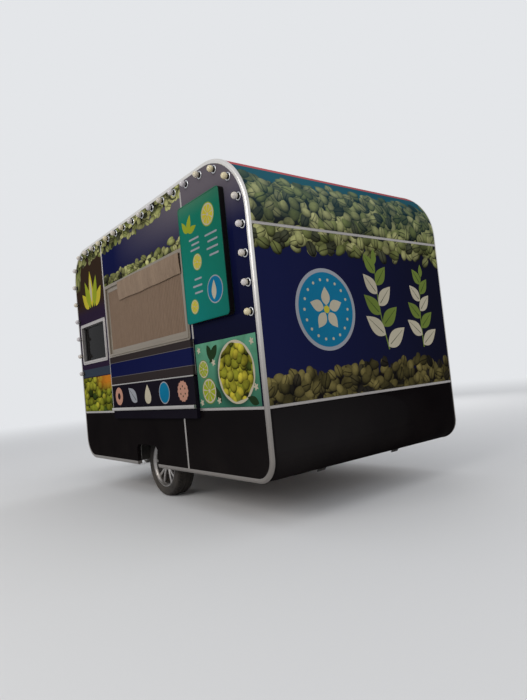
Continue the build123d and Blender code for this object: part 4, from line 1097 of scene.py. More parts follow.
rod_profile += [(rod_length - 0.001, knuckle), (rod_length, knuckle - 0.001), (rod_length, 0.0)]
rails = [
    grid(bar_net, around=True, capped=True), turned(rod_profile, (unit_low.x, rod_y, rod_z), (1, 0, 0), 24),
]
piece("counter_bar", rails, "trim_silver", stands_for=["counter_rails"])

# Globe bulbs: a dark flared socket and a pearl globe with a soft neck
path_inset, bulb_pitch = 0.072, 0.197
rear_path_foot, front_path_foot = waist + 0.637, waist + 0.438
bulb_path = np.concatenate(
    [
        [[rear + path_inset, rear_path_foot]],
        arc(*rear_top_corner[:2], rear_top_radius - path_inset, 180, 90, 200),
        arc(*front_top_corner[:2], front_top_radius - path_inset, 90, 0, 200),
        [[front - path_inset, front_path_foot]],
    ]
)
travelled = np.concatenate([[0], np.cumsum(np.linalg.norm(np.diff(bulb_path, axis=0), axis=1))])
bulb_count = round(travelled[-1] / bulb_pitch) + 1
stops = np.linspace(0, travelled[-1], bulb_count)
bulb_places = np.stack([np.interp(stops, travelled, bulb_path[:, k]) for k in (0, 1)], -1)
globe = np.radians(np.linspace(-62, 90, 15))
globe_middle, globe_radius = 0.0305, 0.0245
globe_profile = [(0.0115, 0.0), (0.0115, 0.0118)]
globe_profile += [(globe_middle + globe_radius * math.sin(a), globe_radius * math.cos(a)) for a in globe]
globe_profile[-1] = (globe_middle + globe_radius, 0.0)
socket_profile = [
    (0.0, 0.0), (0.0, 0.0228), (0.0022, 0.0232), (0.0040, 0.0215), (0.0052, 0.0190), (0.0115, 0.0182),
    (0.0135, 0.0196), (0.0152, 0.0190), (0.0155, 0.0160), (0.0105, 0.0),
]
seats, to_side = [(x, side, z) for x, z in bulb_places], (0, 1, 0)
globes = [turned(globe_profile, seat, to_side, 24) for seat in seats]
piece("bulb_globes", globes, "pearl_glass", stands_for=["marquee_bulbs"], crease=50)
sockets = [turned(socket_profile, seat, to_side, 20) for seat in seats]
piece("bulb_sockets", sockets, "socket_black")
bezel = [
    (0.0002, 0.0214), (0.0002, 0.0296), (0.0014, 0.0304), (0.0036, 0.0290), (0.0050, 0.0262),
    (0.0044, 0.0236), (0.0024, 0.0214),
]
bezels = [turned(bezel, seat, to_side, 24, closed=True) for seat in seats if seat[0] < small_high.x]
piece("bulb_bezels", bezels, "chrome", crease=40)


# Tyres: rounded shoulders, ribs with slanted sipes, a rim guard and fine rings on the sidewall
def tyre(hand):
    """Net of section by turn: radius falls by the groove depth inside the grooves and the slanted cuts."""
    half, bead = half_tyre, rim_reach
    shoulder, rounding, sunk_depth, groove_half = 0.030, 0.028, 0.0065, 0.0042
    wall_u = np.linspace(0, 1, 15)
    wall_r = bead + (tyre_radius - shoulder - bead) * wall_u
    wall_y = half - 0.010 + 0.010 * np.sin(math.pi * np.minimum(wall_u * 0.62 + 0.16, 1)) ** 0.7
    wall_y += -0.0012 * ((wall_u > 0.30) & (wall_u < 0.37)) - 0.0012 * ((wall_u > 0.78) & (wall_u < 0.83))
    turn = np.radians(np.linspace(0, 90, 8))[1:]
    shoulder_y = half - rounding + rounding * np.cos(turn) - 0.0006
    shoulder_r = tyre_radius - shoulder + rounding * np.sin(turn)
    crown_y = np.linspace(half - shoulder, -(half - shoulder), 61)
    crown_r = tyre_radius - 0.0022 * (np.abs(crown_y) / (half - shoulder)) ** 2.2
    y = np.concatenate([wall_y, shoulder_y, crown_y, -shoulder_y[::-1], -wall_y[::-1]])
    r = np.concatenate([wall_r, shoulder_r, crown_r, shoulder_r[::-1], wall_r[::-1]])
    y = np.clip(y, -half, half)
    angle = np.linspace(0, math.tau, 360, endpoint=False)
    on_crown = np.abs(y) < half - 0.010
    groove = np.zeros_like(y)
    for centre in (-0.038, 0.0, 0.038):
        groove = np.maximum(groove, (np.abs(y - centre) < groove_half).astype(float))
    away = np.abs(y)[:, None]
    slant = np.mod(angle[None] * 60 / math.tau + away * 16, 1.0)
    cut = ((slant < 0.2) & (away > 0.044) & (r[:, None] > tyre_radius - 0.016)).astype(float)
    middle_cut = ((np.mod(slant * 2, 1.0) < 0.17) & (away < 0.034) & (away > 0.006)).astype(float)
    sunk = np.maximum(np.maximum(groove[:, None] * on_crown[:, None], cut), 0.6 * middle_cut)
    radius = r[:, None] - sunk_depth * sunk
    net = spread(
        axle_x + radius * np.cos(angle), hand * (half_track + y[:, None]), axle_z + radius * np.sin(angle),
    )
    return grid(net, around=True, along=True)


# Alloy wheel: deep barrel with a bright lip, five pairs of spokes, nuts, centre cap and valve
def spoke(hand, angle, lean):
    """Bowed bar from hub to rim: a rounded section carried along the radius, thickest at the hub."""
    t = np.linspace(0, 1, 13)
    inner_reach, outer_reach = 0.030, rim_reach - 0.0205
    reach = inner_reach + (outer_reach - inner_reach) * t
    swing = np.radians(angle + lean * (0.72 + 0.55 * t))
    face = 0.048 + 0.0105 * t**1.5 + 0.004 * np.sin(math.pi * t)
    depth = 0.026 - 0.006 * t
    half = 0.0148 - 0.0012 * np.sin(math.pi * t) + 0.001 * t**3
    section = np.radians(np.linspace(0, 360, 16, endpoint=False))
    across = np.sign(np.cos(section)) * np.abs(np.cos(section)) ** 0.55
    out = np.sign(np.sin(section)) * np.abs(np.sin(section)) ** 0.7
    way = np.stack([np.cos(swing), np.sin(swing)], -1)
    off = np.stack([-np.sin(swing), np.cos(swing)], -1)
    flat = reach[:, None, None] * way[:, None] + (half[:, None] * across[None])[..., None] * off[:, None]
    y = hand * (half_track + face[:, None] - depth[:, None] / 2 + depth[:, None] / 2 * out[None])
    net = np.stack([axle_x + flat[..., 0], y, axle_z + flat[..., 1]], -1)
    return grid(net, around=True, capped=True)


nut_ring, nut_seat = 0.046, 0.0455
nut = [(-0.002, 0.0), (-0.002, 0.0098), (0.001, 0.0095), (0.0095, 0.0085), (0.0115, 0.005), (0.012, 0.0)]
valve_reach, valve_out, valve_turn = rim_reach - 0.026, 0.050, math.radians(126)
valve = [(-0.010, 0.0), (-0.010, 0.0035), (0.014, 0.0030), (0.015, 0.0042), (0.024, 0.0040), (0.025, 0.0)]
for label, hand in (("left", 1), ("right", -1)):
    body = "wheel_" + label
    middle = (axle_x, hand * half_track, axle_z)
    way = (0, hand, 0)
    piece("road_tyre_" + label, [tyre(hand)], "tyre_rubber", body, ["tyre_" + label], crease=40)
    # Barrel from the inner bead to the outer lip and back inside: place outward and depth below the lip
    barrel = [
        (-half_rim, 0.0015), (-half_rim + 0.003, 0.0), (-0.060, 0.012), (-0.020, 0.020), (0.030, 0.016),
        (0.052, 0.012), (0.060, 0.005), (0.076, 0.0012), (half_rim - 0.003, 0.0), (half_rim - 0.0008, 0.0014),
        (half_rim, 0.0045), (half_rim - 0.0012, 0.0085), (0.0775, 0.0098), (0.0745, 0.0125), (0.062, 0.0235),
        (0.056, 0.0258), (0.050, 0.0248), (0.020, 0.0250), (-0.020, 0.0250), (-0.058, 0.0190),
        (-half_rim + 0.004, 0.0080), (-half_rim, 0.0050),
    ]
    barrel = np.array([(0.0, rim_reach)]) + np.array(barrel) * (1, -1)
    shapes = [turned(barrel, middle, way, 96, closed=True)]
    hub = [
        (0.021, 0.0), (0.021, 0.062), (0.040, 0.0615), (0.0455, 0.056), (0.0465, 0.046), (0.0445, 0.036),
        (0.0440, 0.0315), (0.0440, 0.0),
    ]
    shapes.append(turned(hub, middle, way, 64))
    for pair in range(5):
        for lean in (-11, 11):
            shapes.append(spoke(hand, 90 + 72 * pair, lean))
    piece("alloy_rim_" + label, shapes, "alloy", body, ["rim_" + label], crease=40)
    cap = [(0.0445, 0.0305), (0.0475, 0.0300), (0.0500, 0.0270), (0.0512, 0.0200), (0.0518, 0.0)]
    fittings = [turned([(0.044, 0.0), *cap], middle, way, 48)]
    for turn in np.radians(45 + 90 * np.arange(4)):
        at = (
            axle_x + nut_ring * math.cos(turn), hand * (half_track + nut_seat),
            axle_z + nut_ring * math.sin(turn),
        )
        fittings.append(turned(nut, at, way, 6))
    piece("wheel_cap_nuts_" + label, fittings, "chrome", body, crease=30)
    c, s = math.cos(valve_turn), math.sin(valve_turn)
    valve_at = (axle_x + valve_reach * c, hand * (half_track + valve_out), axle_z + valve_reach * s)
    stem = turned(valve, valve_at, (-c * 0.6, hand * 0.8, -s * 0.6), 16)
    piece("valve_" + label, [stem], "black_rubber", body)
    drum = [
        (-0.035, 0.0205), (-0.035, 0.108), (-0.032, 0.113), (-0.025, 0.1148), (-0.020, 0.111),
        (-0.012, 0.111), (-0.008, 0.1148), (0.012, 0.1148), (0.0185, 0.110), (0.0198, 0.100),
        (0.0198, 0.0205),
    ]
    drum = turned(drum, middle, way, 72, closed=True)
    piece("brake_drum_" + label, [drum], "drum_iron", body, ["drum_" + label])

# Jockey wheel: rubber tread on a pressed hub
roller_low, roller_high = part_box("jockey_wheel")
roller = ((roller_low.x + roller_high.x) / 2, 0.0, (roller_low.z + roller_high.z) / 2)
tread_bend = np.radians(np.linspace(-90, 90, 15))
half = 0.0245
tread = [(half * math.sin(a), 0.088 + 0.012 * math.cos(a) ** 0.6) for a in tread_bend]
tread = turned([(-half, 0.066), *tread, (half, 0.066)], roller, (0, 1, 0), 64, closed=True)
piece("jockey_tread", [tread], "black_rubber", "jockey_wheel", ["jockey_wheel"])
hub = [
    (-0.0250, 0.0085), (-0.0250, 0.018), (-0.016, 0.021), (-0.010, 0.030), (-0.010, 0.052), (-0.018, 0.060),
    (-0.022, 0.0665), (0.022, 0.0665), (0.018, 0.060), (0.010, 0.052), (0.010, 0.030), (0.016, 0.021),
    (0.0250, 0.018), (0.0250, 0.0085),
]
hub = turned(hub, roller, (0, 1, 0), 48, closed=True)
piece("jockey_hub", [hub], "zinc", "jockey_wheel")

# Roof vent: flanged base, seal and a domed lid with two ribs
vent_low, vent_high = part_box("roof_vent")
vent_edge = (vent_low.x, vent_high.x, vent_low.y, vent_high.y, 0.045)


def on_roof(u, v, out):
    """Place on the roof: length, width and how far up."""
    return spread(u, v, roof + out)


lid = [
    (0.0, 0.0), (0.0, 0.006), (0.002, 0.008), (0.016, 0.008), (0.018, 0.018), (0.020, 0.018), (0.020, 0.022),
    (0.014, 0.022), (0.014, 0.034),
]
lid += [(0.018 + 0.030 * t, 0.034 + 0.019 * math.sin(t * math.pi / 2)) for t in np.linspace(0.1, 1, 7)]
lid += [(0.075, 0.0562), (0.078, 0.0592), (0.083, 0.0592), (0.086, 0.0568), (0.140, 0.0596)]
lid = framed(vent_edge, lid, on_roof, capped=True, closed=False)
piece("vent_lid", [lid], "vent_white", stands_for=["roof_vent"])

# Roof sheets: two lap joints with rivets and a bead of sealant round the vent
lap = np.array([(-0.030, -0.0005), (-0.030, 0.0008), (-0.0285, 0.0018)])
lap = np.concatenate([lap, lap[::-1] * (-1, 1)])
ends = np.array([-inner, inner])[:, None]
lap_x = (rear + rear_top_radius + 0.66, front - front_top_radius - 0.66)
laps, lap_heads = [], []
for x in lap_x:
    laps.append(grid(on_roof(x + lap[:, 0], ends, lap[:, 1]), around=True, capped=True))
    for row in (-0.018, 0.018):
        lap_heads += [(x + row, y, roof + 0.0017) for y in np.arange(-0.96, 0.97, 0.12)]
piece("roof_laps", laps, "roof_white", crease=25)
piece("roof_rivets", dome_heads(lap_heads, (0, 0, 1)), "strip_silver")
bead = [(0.003, -0.0004), (0.0015, 0.0022), (-0.0025, 0.0038), (-0.0065, 0.0024), (-0.0085, -0.0004)]
piece("vent_sealant", [framed(vent_edge, bead, on_roof)], "vent_white", crease=60)

# Door furniture: a rounded pull bar on two feet and a lock
handle_low, handle_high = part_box("door_handle")


def tube(points, radius, steps, flat):
    """Round bar along a line: rings of the radius square to the run, squeezed by flat along X."""
    points = np.asarray(points, float)
    run = np.gradient(points, axis=0)
    run /= np.linalg.norm(run, axis=1)[:, None]
    other = np.array([1.0, 0.0, 0.0]) if abs(run[:, 0]).max() < 0.7 else np.array([0.0, 0.0, 1.0])
    second = np.cross(run, other)
    second /= np.linalg.norm(second, axis=1)[:, None]
    first = np.cross(second, run)
    angle = np.linspace(0, math.tau, steps, endpoint=False)
    ring = first[:, None] * flat * np.cos(angle)[:, None] + second[:, None] * np.sin(angle)[:, None]
    return grid(points[:, None] + radius * ring, around=True, capped=True)


pull_x = (handle_low.x + handle_high.x) / 2
pull_out, pull_in = handle_low.y + 0.0065, handle_high.y
pull_bend = 0.012
pull_low, pull_high = handle_low.z + 0.010, handle_high.z - 0.010
turn_y, turn_low, turn_high = pull_out + pull_bend, pull_low + pull_bend, pull_high - pull_bend
pull = [(pull_x, pull_in, pull_low), (pull_x, turn_y, pull_low)]
pull += [(pull_x, turn_y - pull_bend * math.sin(a), turn_low - pull_bend * math.cos(a)) for a in bend[1:]]
pull += [(pull_x, turn_y - pull_bend * math.cos(a), turn_high + pull_bend * math.sin(a)) for a in bend[:-1]]
pull += [(pull_x, turn_y, pull_high), (pull_x, pull_in, pull_high)]
foot = [(0.0, 0.0), (0.0, 0.0105), (0.003, 0.0105), (0.004, 0.0)]
feet = [turned(foot, (pull_x, pull_in, z), (0, -1, 0), 24) for z in (pull_low, pull_high)]
piece("door_pull", [tube(pull, 0.0062, 16, 1.5), *feet], "chrome", "door", ["door_handle"])
lock_z = handle_low.z - 0.06
lock = [(0.0, 0.0), (0.0, 0.016), (0.003, 0.0155), (0.004, 0.012), (0.0055, 0.011), (0.0055, 0.0)]
piece(
    "door_lock", [turned(lock, (pull_x, pull_in, lock_z), (0, -1, 0), 32)], "chrome", "door",
)


# Prints and pictures as thin films
def citrus(u, v, radius, turn):
    """Cut fruit: the rind, the pale pith and the juicy parts."""
    starts = [turn + k * 40 for k in range(9)]
    segments = [wedge(u, v, radius * 0.14, radius * 0.8, start + 4, start + 36) for start in starts]
    return disc(u, v, radius), disc(u, v, radius * 0.92), segments


def film(name, shapes, finish, where, level):
    """Flat forms of one colour at a level in tenths of a millimetre, each a hair over the last."""
    layers = [inked(shape, where, 0.0001 * level + 0.00003 * number) for number, shape in enumerate(shapes)]
    piece(name, layers, finish)


def on_circle(centre, radius, degrees):
    """Place on a circle at an angle."""
    angle = math.radians(degrees)
    return centre[0] + radius * math.cos(angle), centre[1] + radius * math.sin(angle)


# Rear face: a round medallion and two tall sprigs
medal = (0.42, 1.44)
film("medallion_rim", [disc(*medal, 0.300, 96)], "ink_pale_line", on_rear, 6)
film("medallion_field", [disc(*medal, 0.272, 96)], "ink_badge_blue", on_rear, 9)
petals = [leaf(*on_circle(medal, 0.03, a), 0.135, 0.085, a) for a in range(18, 378, 72)]
film("medallion_petals", petals, "ink_cream", on_rear, 12)
film("medallion_heart", [disc(*medal, 0.028, 32)], "ink_sun_yellow", on_rear, 15)
dots = [disc(*on_circle(medal, 0.218, a), 0.011, 20) for a in range(0, 360, 20)]
film("medallion_dots", dots, "ink_cream", on_rear, 12)
sprigs = ((-0.24, -0.16, 1.12, 1.80, 1.0), (-0.70, -0.76, 1.12, 1.72, 0.86))
for number, (foot_y, tip_y, low_z, high_z, size) in enumerate(sprigs):
    t = np.linspace(0, 1, 30)
    stem_y = foot_y + (tip_y - foot_y) * t + 0.03 * np.sin(math.pi * t)
    stem = np.stack([stem_y, low_z + (high_z - low_z) * t], -1)
    film(f"sprig_stem_{number}", [ribbon(stem, 0.014 - 0.009 * t)], "ink_leaf_green", on_rear, 6)
    pale, green, veins = [], [], []
    for k, share in enumerate(np.linspace(0.06, 0.9, 8)):
        at = stem[int(share * (len(stem) - 1))]
        hand = 1 if k % 2 else -1
        length, width = size * 0.275 * (1 - 0.35 * share), size * 0.135 * (1 - 0.25 * share)
        turn = 90 - hand * (58 - 22 * share)
        (pale if k % 4 < 2 else green).append(leaf(at[0], at[1], length, width, turn))
        tip = np.array([math.cos(math.radians(turn)), math.sin(math.radians(turn))])
        along = at + np.linspace(0.12, 0.86, 8)[:, None] * length * tip
        veins.append(ribbon(along, np.linspace(0.006, 0.002, 8)))
    green.append(leaf(stem[-1, 0], stem[-1, 1], size * 0.13, size * 0.06, 92))
    film(f"sprig_pale_leaves_{number}", pale, "ink_cream", on_rear, 8)
    film(f"sprig_green_leaves_{number}", green, "ink_leaf_green", on_rear, 8)
    film(f"sprig_veins_{number}", veins, "ink_deep_green", on_rear, 11)

# Serving side, rear panel: fruit in a bowl on teal
pic_x0, pic_x1, pic_z0, pic_z1 = rear + 0.050, rear_strip - 0.012, waist + 0.011, waist + 0.496
picture = [(pic_x0, pic_z0), (pic_x1, pic_z0), (pic_x1, pic_z1), (pic_x0, pic_z1)]
film("fruit_ground", [picture], "ink_picture_teal", on_side, 5)
bowl = (pic_x0 + 0.262, pic_z0 + 0.243)
film("fruit_bowl", [disc(*bowl, 0.222, 72)], "ink_cream", on_side, 8)
film("fruit_bowl_well", [disc(*bowl, 0.198, 72)], "ink_pale_line", on_side, 10)
film("fruit_heap", [disc(*bowl, 0.204, 72, 0.025, 9)], "fruit_heap", on_side, 12)
slices = [(pic_x1 - 0.150, pic_z0 + 0.125, 0.098, 8), (pic_x1 - 0.095, pic_z0 + 0.290, 0.070, 30)]
cut = [citrus(*at) for at in slices]
film("slice_rind", [c[0] for c in cut], "ink_leaf_green", on_side, 8)
film("slice_pith", [c[1] for c in cut], "ink_cream", on_side, 11)
film("slice_flesh", [s for c in cut for s in c[2]], "ink_lime_green", on_side, 14)
leaves = [
    leaf(pic_x1 - 0.30, pic_z1 - 0.03, 0.17, 0.07, -48),
    leaf(pic_x1 - 0.17, pic_z1 - 0.02, 0.16, 0.065, -112),
    leaf(pic_x1 - 0.30, pic_z0 + 0.03, 0.15, 0.06, 62),
    leaf(pic_x0 + 0.03, pic_z0 + 0.02, 0.13, 0.06, 20),
]
film("fruit_leaves", leaves, "ink_deep_green", on_side, 8)
blossoms = [
    disc(x, z, 0.020, 30, 0.35, 5)
    for x, z in (
        (pic_x1 - 0.05, pic_z1 - 0.05), (pic_x1 - 0.24, pic_z0 + 0.33), (pic_x0 + 0.05, pic_z1 - 0.05),
        (pic_x0 + 0.50, pic_z0 + 0.05), (pic_x0 + 0.045, pic_z0 + 0.13), (pic_x1 - 0.035, pic_z0 + 0.04),
    )
]
film("fruit_blossoms", blossoms, "ink_cream", on_side, 13)


# Menu face: cut fruit, a round medallion and blank bars
def on_menu(u, v, out):
    """Place on the menu face: length, height and how far outward."""
    return on_side(u, v, menu_sunk + out)


def menu_film(name, shapes, finish, level):
    """Flat forms of one colour on the menu face."""
    film(name, shapes, finish, on_menu, level)


menu_cut = [
    citrus(menu_low.x + 0.16, menu_high.z - 0.16, 0.085, 12),
    citrus(menu_low.x + 0.35, menu_low.z + 0.44, 0.062, 0),
    citrus(menu_high.x - 0.13, menu_low.z + 0.12, 0.055, 20),
]
menu_film("menu_rind", [c[0] for c in menu_cut], "ink_lime_green", 6)
menu_film("menu_pith", [c[1] for c in menu_cut], "ink_cream", 9)
menu_film("menu_flesh", [s for c in menu_cut for s in c[2]], "ink_sun_yellow", 12)
menu_medal = (menu_low.x + 0.15, menu_low.z + 0.20)
menu_film("menu_medal_rim", [disc(*menu_medal, 0.100, 64)], "ink_pale_line", 6)
menu_film("menu_medal", [disc(*menu_medal, 0.091, 64)], "ink_badge_blue", 9)
menu_film("menu_medal_leaf", [leaf(menu_medal[0] + 0.02, menu_low.z + 0.13, 0.14, 0.06, 96)], "ink_cream", 12)
# from the left edge, width, height over the foot
bars = [
    (0.30, 0.14, 0.61), (0.30, 0.11, 0.57), (0.30, 0.13, 0.53), (0.06, 0.16, 0.59), (0.06, 0.13, 0.54),
    (0.06, 0.15, 0.49), (0.06, 0.12, 0.44), (0.31, 0.10, 0.31), (0.31, 0.13, 0.26), (0.31, 0.11, 0.21),
]
bar_height, bar_corner = 0.014, 0.0069
bars = [
    rounded(menu_low.x + x, menu_low.x + x + wide, menu_low.z + z, menu_low.z + z + bar_height, bar_corner, 5)
    for x, wide, z in bars
]
menu_film("menu_bars", bars, "ink_pale_line", 6)
# from the right edge, length, width, turn
leaves = ((0.12, 0.14, 0.06, 112), (0.11, 0.12, 0.05, 58), (0.13, 0.12, 0.05, 166))
leaves = [leaf(menu_high.x - off, menu_high.z - 0.22, *size) for off, *size in leaves]
menu_film("menu_leaves", leaves, "ink_lime_green", 6)


# Fascia row: ring, leaf, medallion, drop and biscuit
def on_fascia(u, v, out):
    """Place on the counter fascia: length, height and how far outward."""
    return on_side(u, v, unit_high.y - side + out)


row_z = (bar_high + unit_high.z) / 2
row_x = np.linspace(unit_high.x - 0.16, unit_low.x + 0.18, 5)
ring_part = 119.9
ring = [wedge(row_x[0], row_z, 0.032, 0.086, a, a + ring_part, 14) for a in (0, 120, 240)]
film("row_ring", ring, "ink_peach", on_fascia, 6)
stalk, leaf_length, leaf_way = np.array([row_x[1] - 0.085, row_z - 0.062]), 0.215, np.array([0.788, 0.616])
film("row_leaf", [leaf(*stalk, leaf_length, 0.115, 38)], "ink_pale_line", on_fascia, 6)
vein = stalk + np.linspace(0.1, 0.9, 8)[:, None] * leaf_length * leaf_way
film("row_leaf_vein", [ribbon(vein, np.linspace(0.007, 0.002, 8))], "ink_deep_green", on_fascia, 9)
film("row_medal_rim", [disc(row_x[3], row_z, 0.094, 56)], "ink_pale_line", on_fascia, 6)
film("row_medal", [disc(row_x[3], row_z, 0.085, 56)], "ink_badge_blue", on_fascia, 9)
drop_angle = np.linspace(0, math.tau, 40, endpoint=False)
drop_half = 0.082 * np.sin(drop_angle) * np.sin(drop_angle / 2) ** 1.1
drop = np.stack([row_x[2] + drop_half, row_z + 0.085 * np.cos(drop_angle)], -1)
film("row_drop", [drop], "ink_cream", on_fascia, 6)
film("row_biscuit", [disc(row_x[4], row_z, 0.082, 64, 0.05, 14)], "ink_peach", on_fascia, 6)
holes = [disc(*on_circle((row_x[4], row_z), 0.04, a), 0.008, 14) for a in range(30, 390, 60)]
film("row_biscuit_holes", holes, "ink_deep_green", on_fascia, 9)

# Front panel: a fan of tall leaves above the small window
fan_x, fan_z = front_strip + 0.36, 1.93
blades = ((0.26, 132), (0.34, 108), (0.40, 88), (0.33, 68), (0.25, 46))
fan = [leaf(fan_x - 0.10 + 0.05 * k, fan_z, length, 0.115, turn) for k, (length, turn) in enumerate(blades)]
film("fan_yellow", fan[::2], "ink_sun_yellow", on_side, 6)
film("fan_green", fan[1::2], "ink_lime_green", on_side, 8)
film("fan_heart", [leaf(fan_x + 0.005, fan_z + 0.06, 0.26, 0.05, 88)], "ink_cream", on_side, 11)


# Joint strips: two raised edges and a channel between them, with a row of rivets
strip_profile = np.array(
    [(-0.010, -0.0002), (-0.010, 0.0014), (-0.0090, 0.0027), (-0.0066, 0.0030), (-0.0054, 0.0014)]
)
strip_profile = np.concatenate([strip_profile, strip_profile[::-1] * (-1, 1)])


def strip(where, start, end):
    """Strip profile carried straight along a face: each end + across * the way square to the run."""
    start, end = np.array(start), np.array(end)
    run = (end - start) / np.linalg.norm(end - start)
    off = np.array([-run[1], run[0]])
    net = np.stack([start, end])[:, None] + strip_profile[None, :, :1] * off
    return grid(where(net[..., 0], net[..., 1], strip_profile[None, :, 1]), around=True, capped=True)


def on_front(u, v, out):
    """Place on the front face: width, height and how far outward."""
    return spread(front + out, u, v)


trim_wide, strip_gap = 0.032, 0.005
first_rivet, rivet_pitch = 0.04, 0.16
skirt_strip = rear + 1.085
strip_top = roof - path_inset - 0.030
door_low, door_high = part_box("door_frame")
runs = (
    # face, its outward way, start, end
    (on_side, (0, 1, 0), (rear + trim_wide, waist), (unit_low.x - strip_gap, waist)),
    (on_side, (0, 1, 0), (unit_high.x + strip_gap, waist), (front - trim_wide, waist)),
    (on_side, (0, 1, 0), (rear_strip, flap_high.z + strip_gap), (rear_strip, strip_top)),
    (on_side, (0, 1, 0), (front_strip, waist + 0.0102), (front_strip, strip_top)),
    (on_side, (0, 1, 0), (skirt_strip, under + trim_wide), (skirt_strip, unit_low.z - strip_gap)),
    (on_far, (0, -1, 0), (rear + trim_wide, waist), (door_low.x - strip_gap, waist)),
    (on_far, (0, -1, 0), (door_high.x + strip_gap, waist), (front - trim_wide, waist)),
    (on_rear, (-1, 0, 0), (-leg_foot, waist), (leg_foot, waist)),
    (on_rear, (-1, 0, 0), (-leg_foot, seam), (leg_foot, seam)),
    (on_front, (1, 0, 0), (-leg_foot, waist), (leg_foot, waist)),
)
strips, heads = [], []
for where, way, start, end in runs:
    strips.append(strip(where, start, end))
    length = math.dist(start, end)
    inset = first_rivet / length
    share = np.linspace(inset, 1 - inset, max(2, round(length / rivet_pitch)))[:, None]
    seats = np.array(start) * (1 - share) + np.array(end) * share
    heads += dome_heads(where(seats[:, 0], seats[:, 1], 0.0012), way)
piece("joint_profiles", strips, "strip_silver", stands_for=["joint_strips"], crease=28)
piece("strip_rivets", heads, "trim_silver")


# Screws of the window and door frames, bolts of the coupling and of the jockey clamp, grip of the crank
def spaced(low, high, gap):
    """Places from low to high about a gap apart."""
    return np.linspace(low, high, max(2, round((high - low) / gap) + 1))


def round_frame(where, edge, gap, out):
    """Places along the four sides of a rectangle (x0, x1, z0, z1) on a face."""
    x0, x1, z0, z1 = edge
    level = spaced(x0 + 0.03, x1 - 0.03, gap)
    upright = spaced(z0 + 0.05, z1 - 0.05, gap)
    u = np.concatenate([level, level, np.full(len(upright), x0), np.full(len(upright), x1)])
    v = np.concatenate([np.full(len(level), z0), np.full(len(level), z1), upright, upright])
    return where(u, v, out)


screws = []
screw_line = 0.0275
for _, low, high, _, _ in windows:
    edge = (low.x - screw_line, high.x + screw_line, low.z - screw_line, high.z + screw_line)
    screws += dome_heads(round_frame(on_side, edge, 0.19, 0.0057), (0, 1, 0), 0.0035, 0.0015)
piece("window_screws", screws, "trim_silver")
door_edge = (door_low.x + 0.014, door_high.x - 0.010, door_low.z + 0.016, door_high.z - 0.016)
screws = dome_heads(round_frame(on_far, door_edge, 0.24, -door_low.y - side), (0, -1, 0), 0.004, 0.0016)
piece("door_frame_screws", screws, "trim_silver")

bolt = [(-0.001, 0.0), (-0.001, 0.0058), (0.0052, 0.0058), (0.0060, 0.0046), (0.0060, 0.0)]
hitch_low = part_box("coupling")[0]
seats = [
    (hitch_low.x + along, hand * 0.030, hitch_low.z + 0.010)
    for along in (0.020, 0.085)
    for hand in (-1, 1)
]
jockey_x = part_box("jockey_tube")[1].x - 0.024
clamp_half, clamp_reach = 0.058, 0.018
seats += [
    (jockey_x + along, hand * clamp_half, beam_top)
    for along in (-clamp_reach, clamp_reach)
    for hand in (-1, 1)
]
piece(
    "hitch_bolts", [turned(bolt, seat, (0, 0, 1), 6) for seat in seats], "chrome",
    crease=30,
)
crank_x, crank_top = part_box("jockey_tube")[0].x + 0.011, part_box("jockey_tube")[1].z
grip = [(-0.070, 0.0), (-0.070, 0.0120), (-0.066, 0.0132)]
for ring in range(5):
    low = -0.060 + 0.011 * ring
    grip += [(low, 0.0132), (low + 0.0015, 0.0122), (low + 0.003, 0.0132)]
grip += [(-0.003, 0.0130), (-0.0002, 0.0105), (-0.0002, 0.0)]
piece(
    "crank_grip", [turned(grip, (crank_x, 0.0, crank_top), (0, 0, 1), 32)], "black_rubber",
    crease=40,
)

# Black rubber sheets that close the foot of each wheel box, put in as painted shade for the dark under the
# body: a hanging sheet with a curled lower edge, carried across
box_low, box_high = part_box("wheel_boxes")
flap_line = [
    (0.0062, 0.464), (0.0062, 0.350), (0.0054, 0.337), (0.0030, 0.326), (-0.0020, 0.3185), (-0.0100, 0.3150),
]
flap_edge = ribbon(flap_line, np.full(len(flap_line), 0.0036))
flap_ends = np.array([tyre_low.y - 0.0285, inner - 0.004])[:, None]
shade_sheets = []
for wall_x, way in ((box_high.x, -1), (box_low.x, 1)):
    for hand in (1, -1):
        net = spread(wall_x + way * flap_edge[None, :, 0], hand * flap_ends, flap_edge[None, :, 1])
        shade_sheets.append(grid(net, around=True, capped=True))
piece("arch_shade_sheets", shade_sheets, "black_rubber", crease=40)

# Finishes of the solids that show as they are
dressed = (
    # nodes, finish, softened edge
    (("rear_wall",), "rear_vinyl", 0.0),
    (("serving_wall_rear", "serving_wall_middle", "serving_wall_front"), "side_vinyl", 0.0),
    (("far_wall",), "far_vinyl", 0.0),
    (("serving_skirt", "far_skirt"), "black_gloss", 0.0),
    (("roof",), "roof_white", 0.0),
    (("door_frame",), "trim_silver", 0.0015),
    (("door_leaf",), "door_vinyl", 0.003),
    (("door_hinges",), "zinc", 0.0008),
    (("floor",), "floor_ply", 0.001),
    (("wheel_boxes",), "box_sheet", 0.001),
    (("chassis_frame", "axle_beam"), "chassis_paint", 0.003),
    (("drawbar",), "chassis_paint", 0.003),
    (("coupling",), "zinc", 0.003),
    (("jockey_tube", "jockey_leg"), "zinc", 0.0015),
    (
        (
            "steady_brackets", "steady_rear_left", "steady_rear_right", "steady_front_left",
            "steady_front_right",
        ),
        "chassis_paint", 0.0012,
    ),
    (("worktop",), "steel_top", 0.002),
    (("serving_window_glass", "front_window_glass"), "window_glass", 0.0),
)
for nodes, finish, edge in dressed:
    for name in nodes:
        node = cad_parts[name]
        node.data.materials.clear()
        node.data.materials.append(finishes[finish])
        if edge:
            weld = node.modifiers.new("weld", "WELD")
            weld.merge_threshold = 0.00002
            soft = node.modifiers.new("soft_edges", "BEVEL")
            soft.width, soft.segments = edge, 2
            soft.limit_method, soft.angle_limit = "ANGLE", math.radians(40)

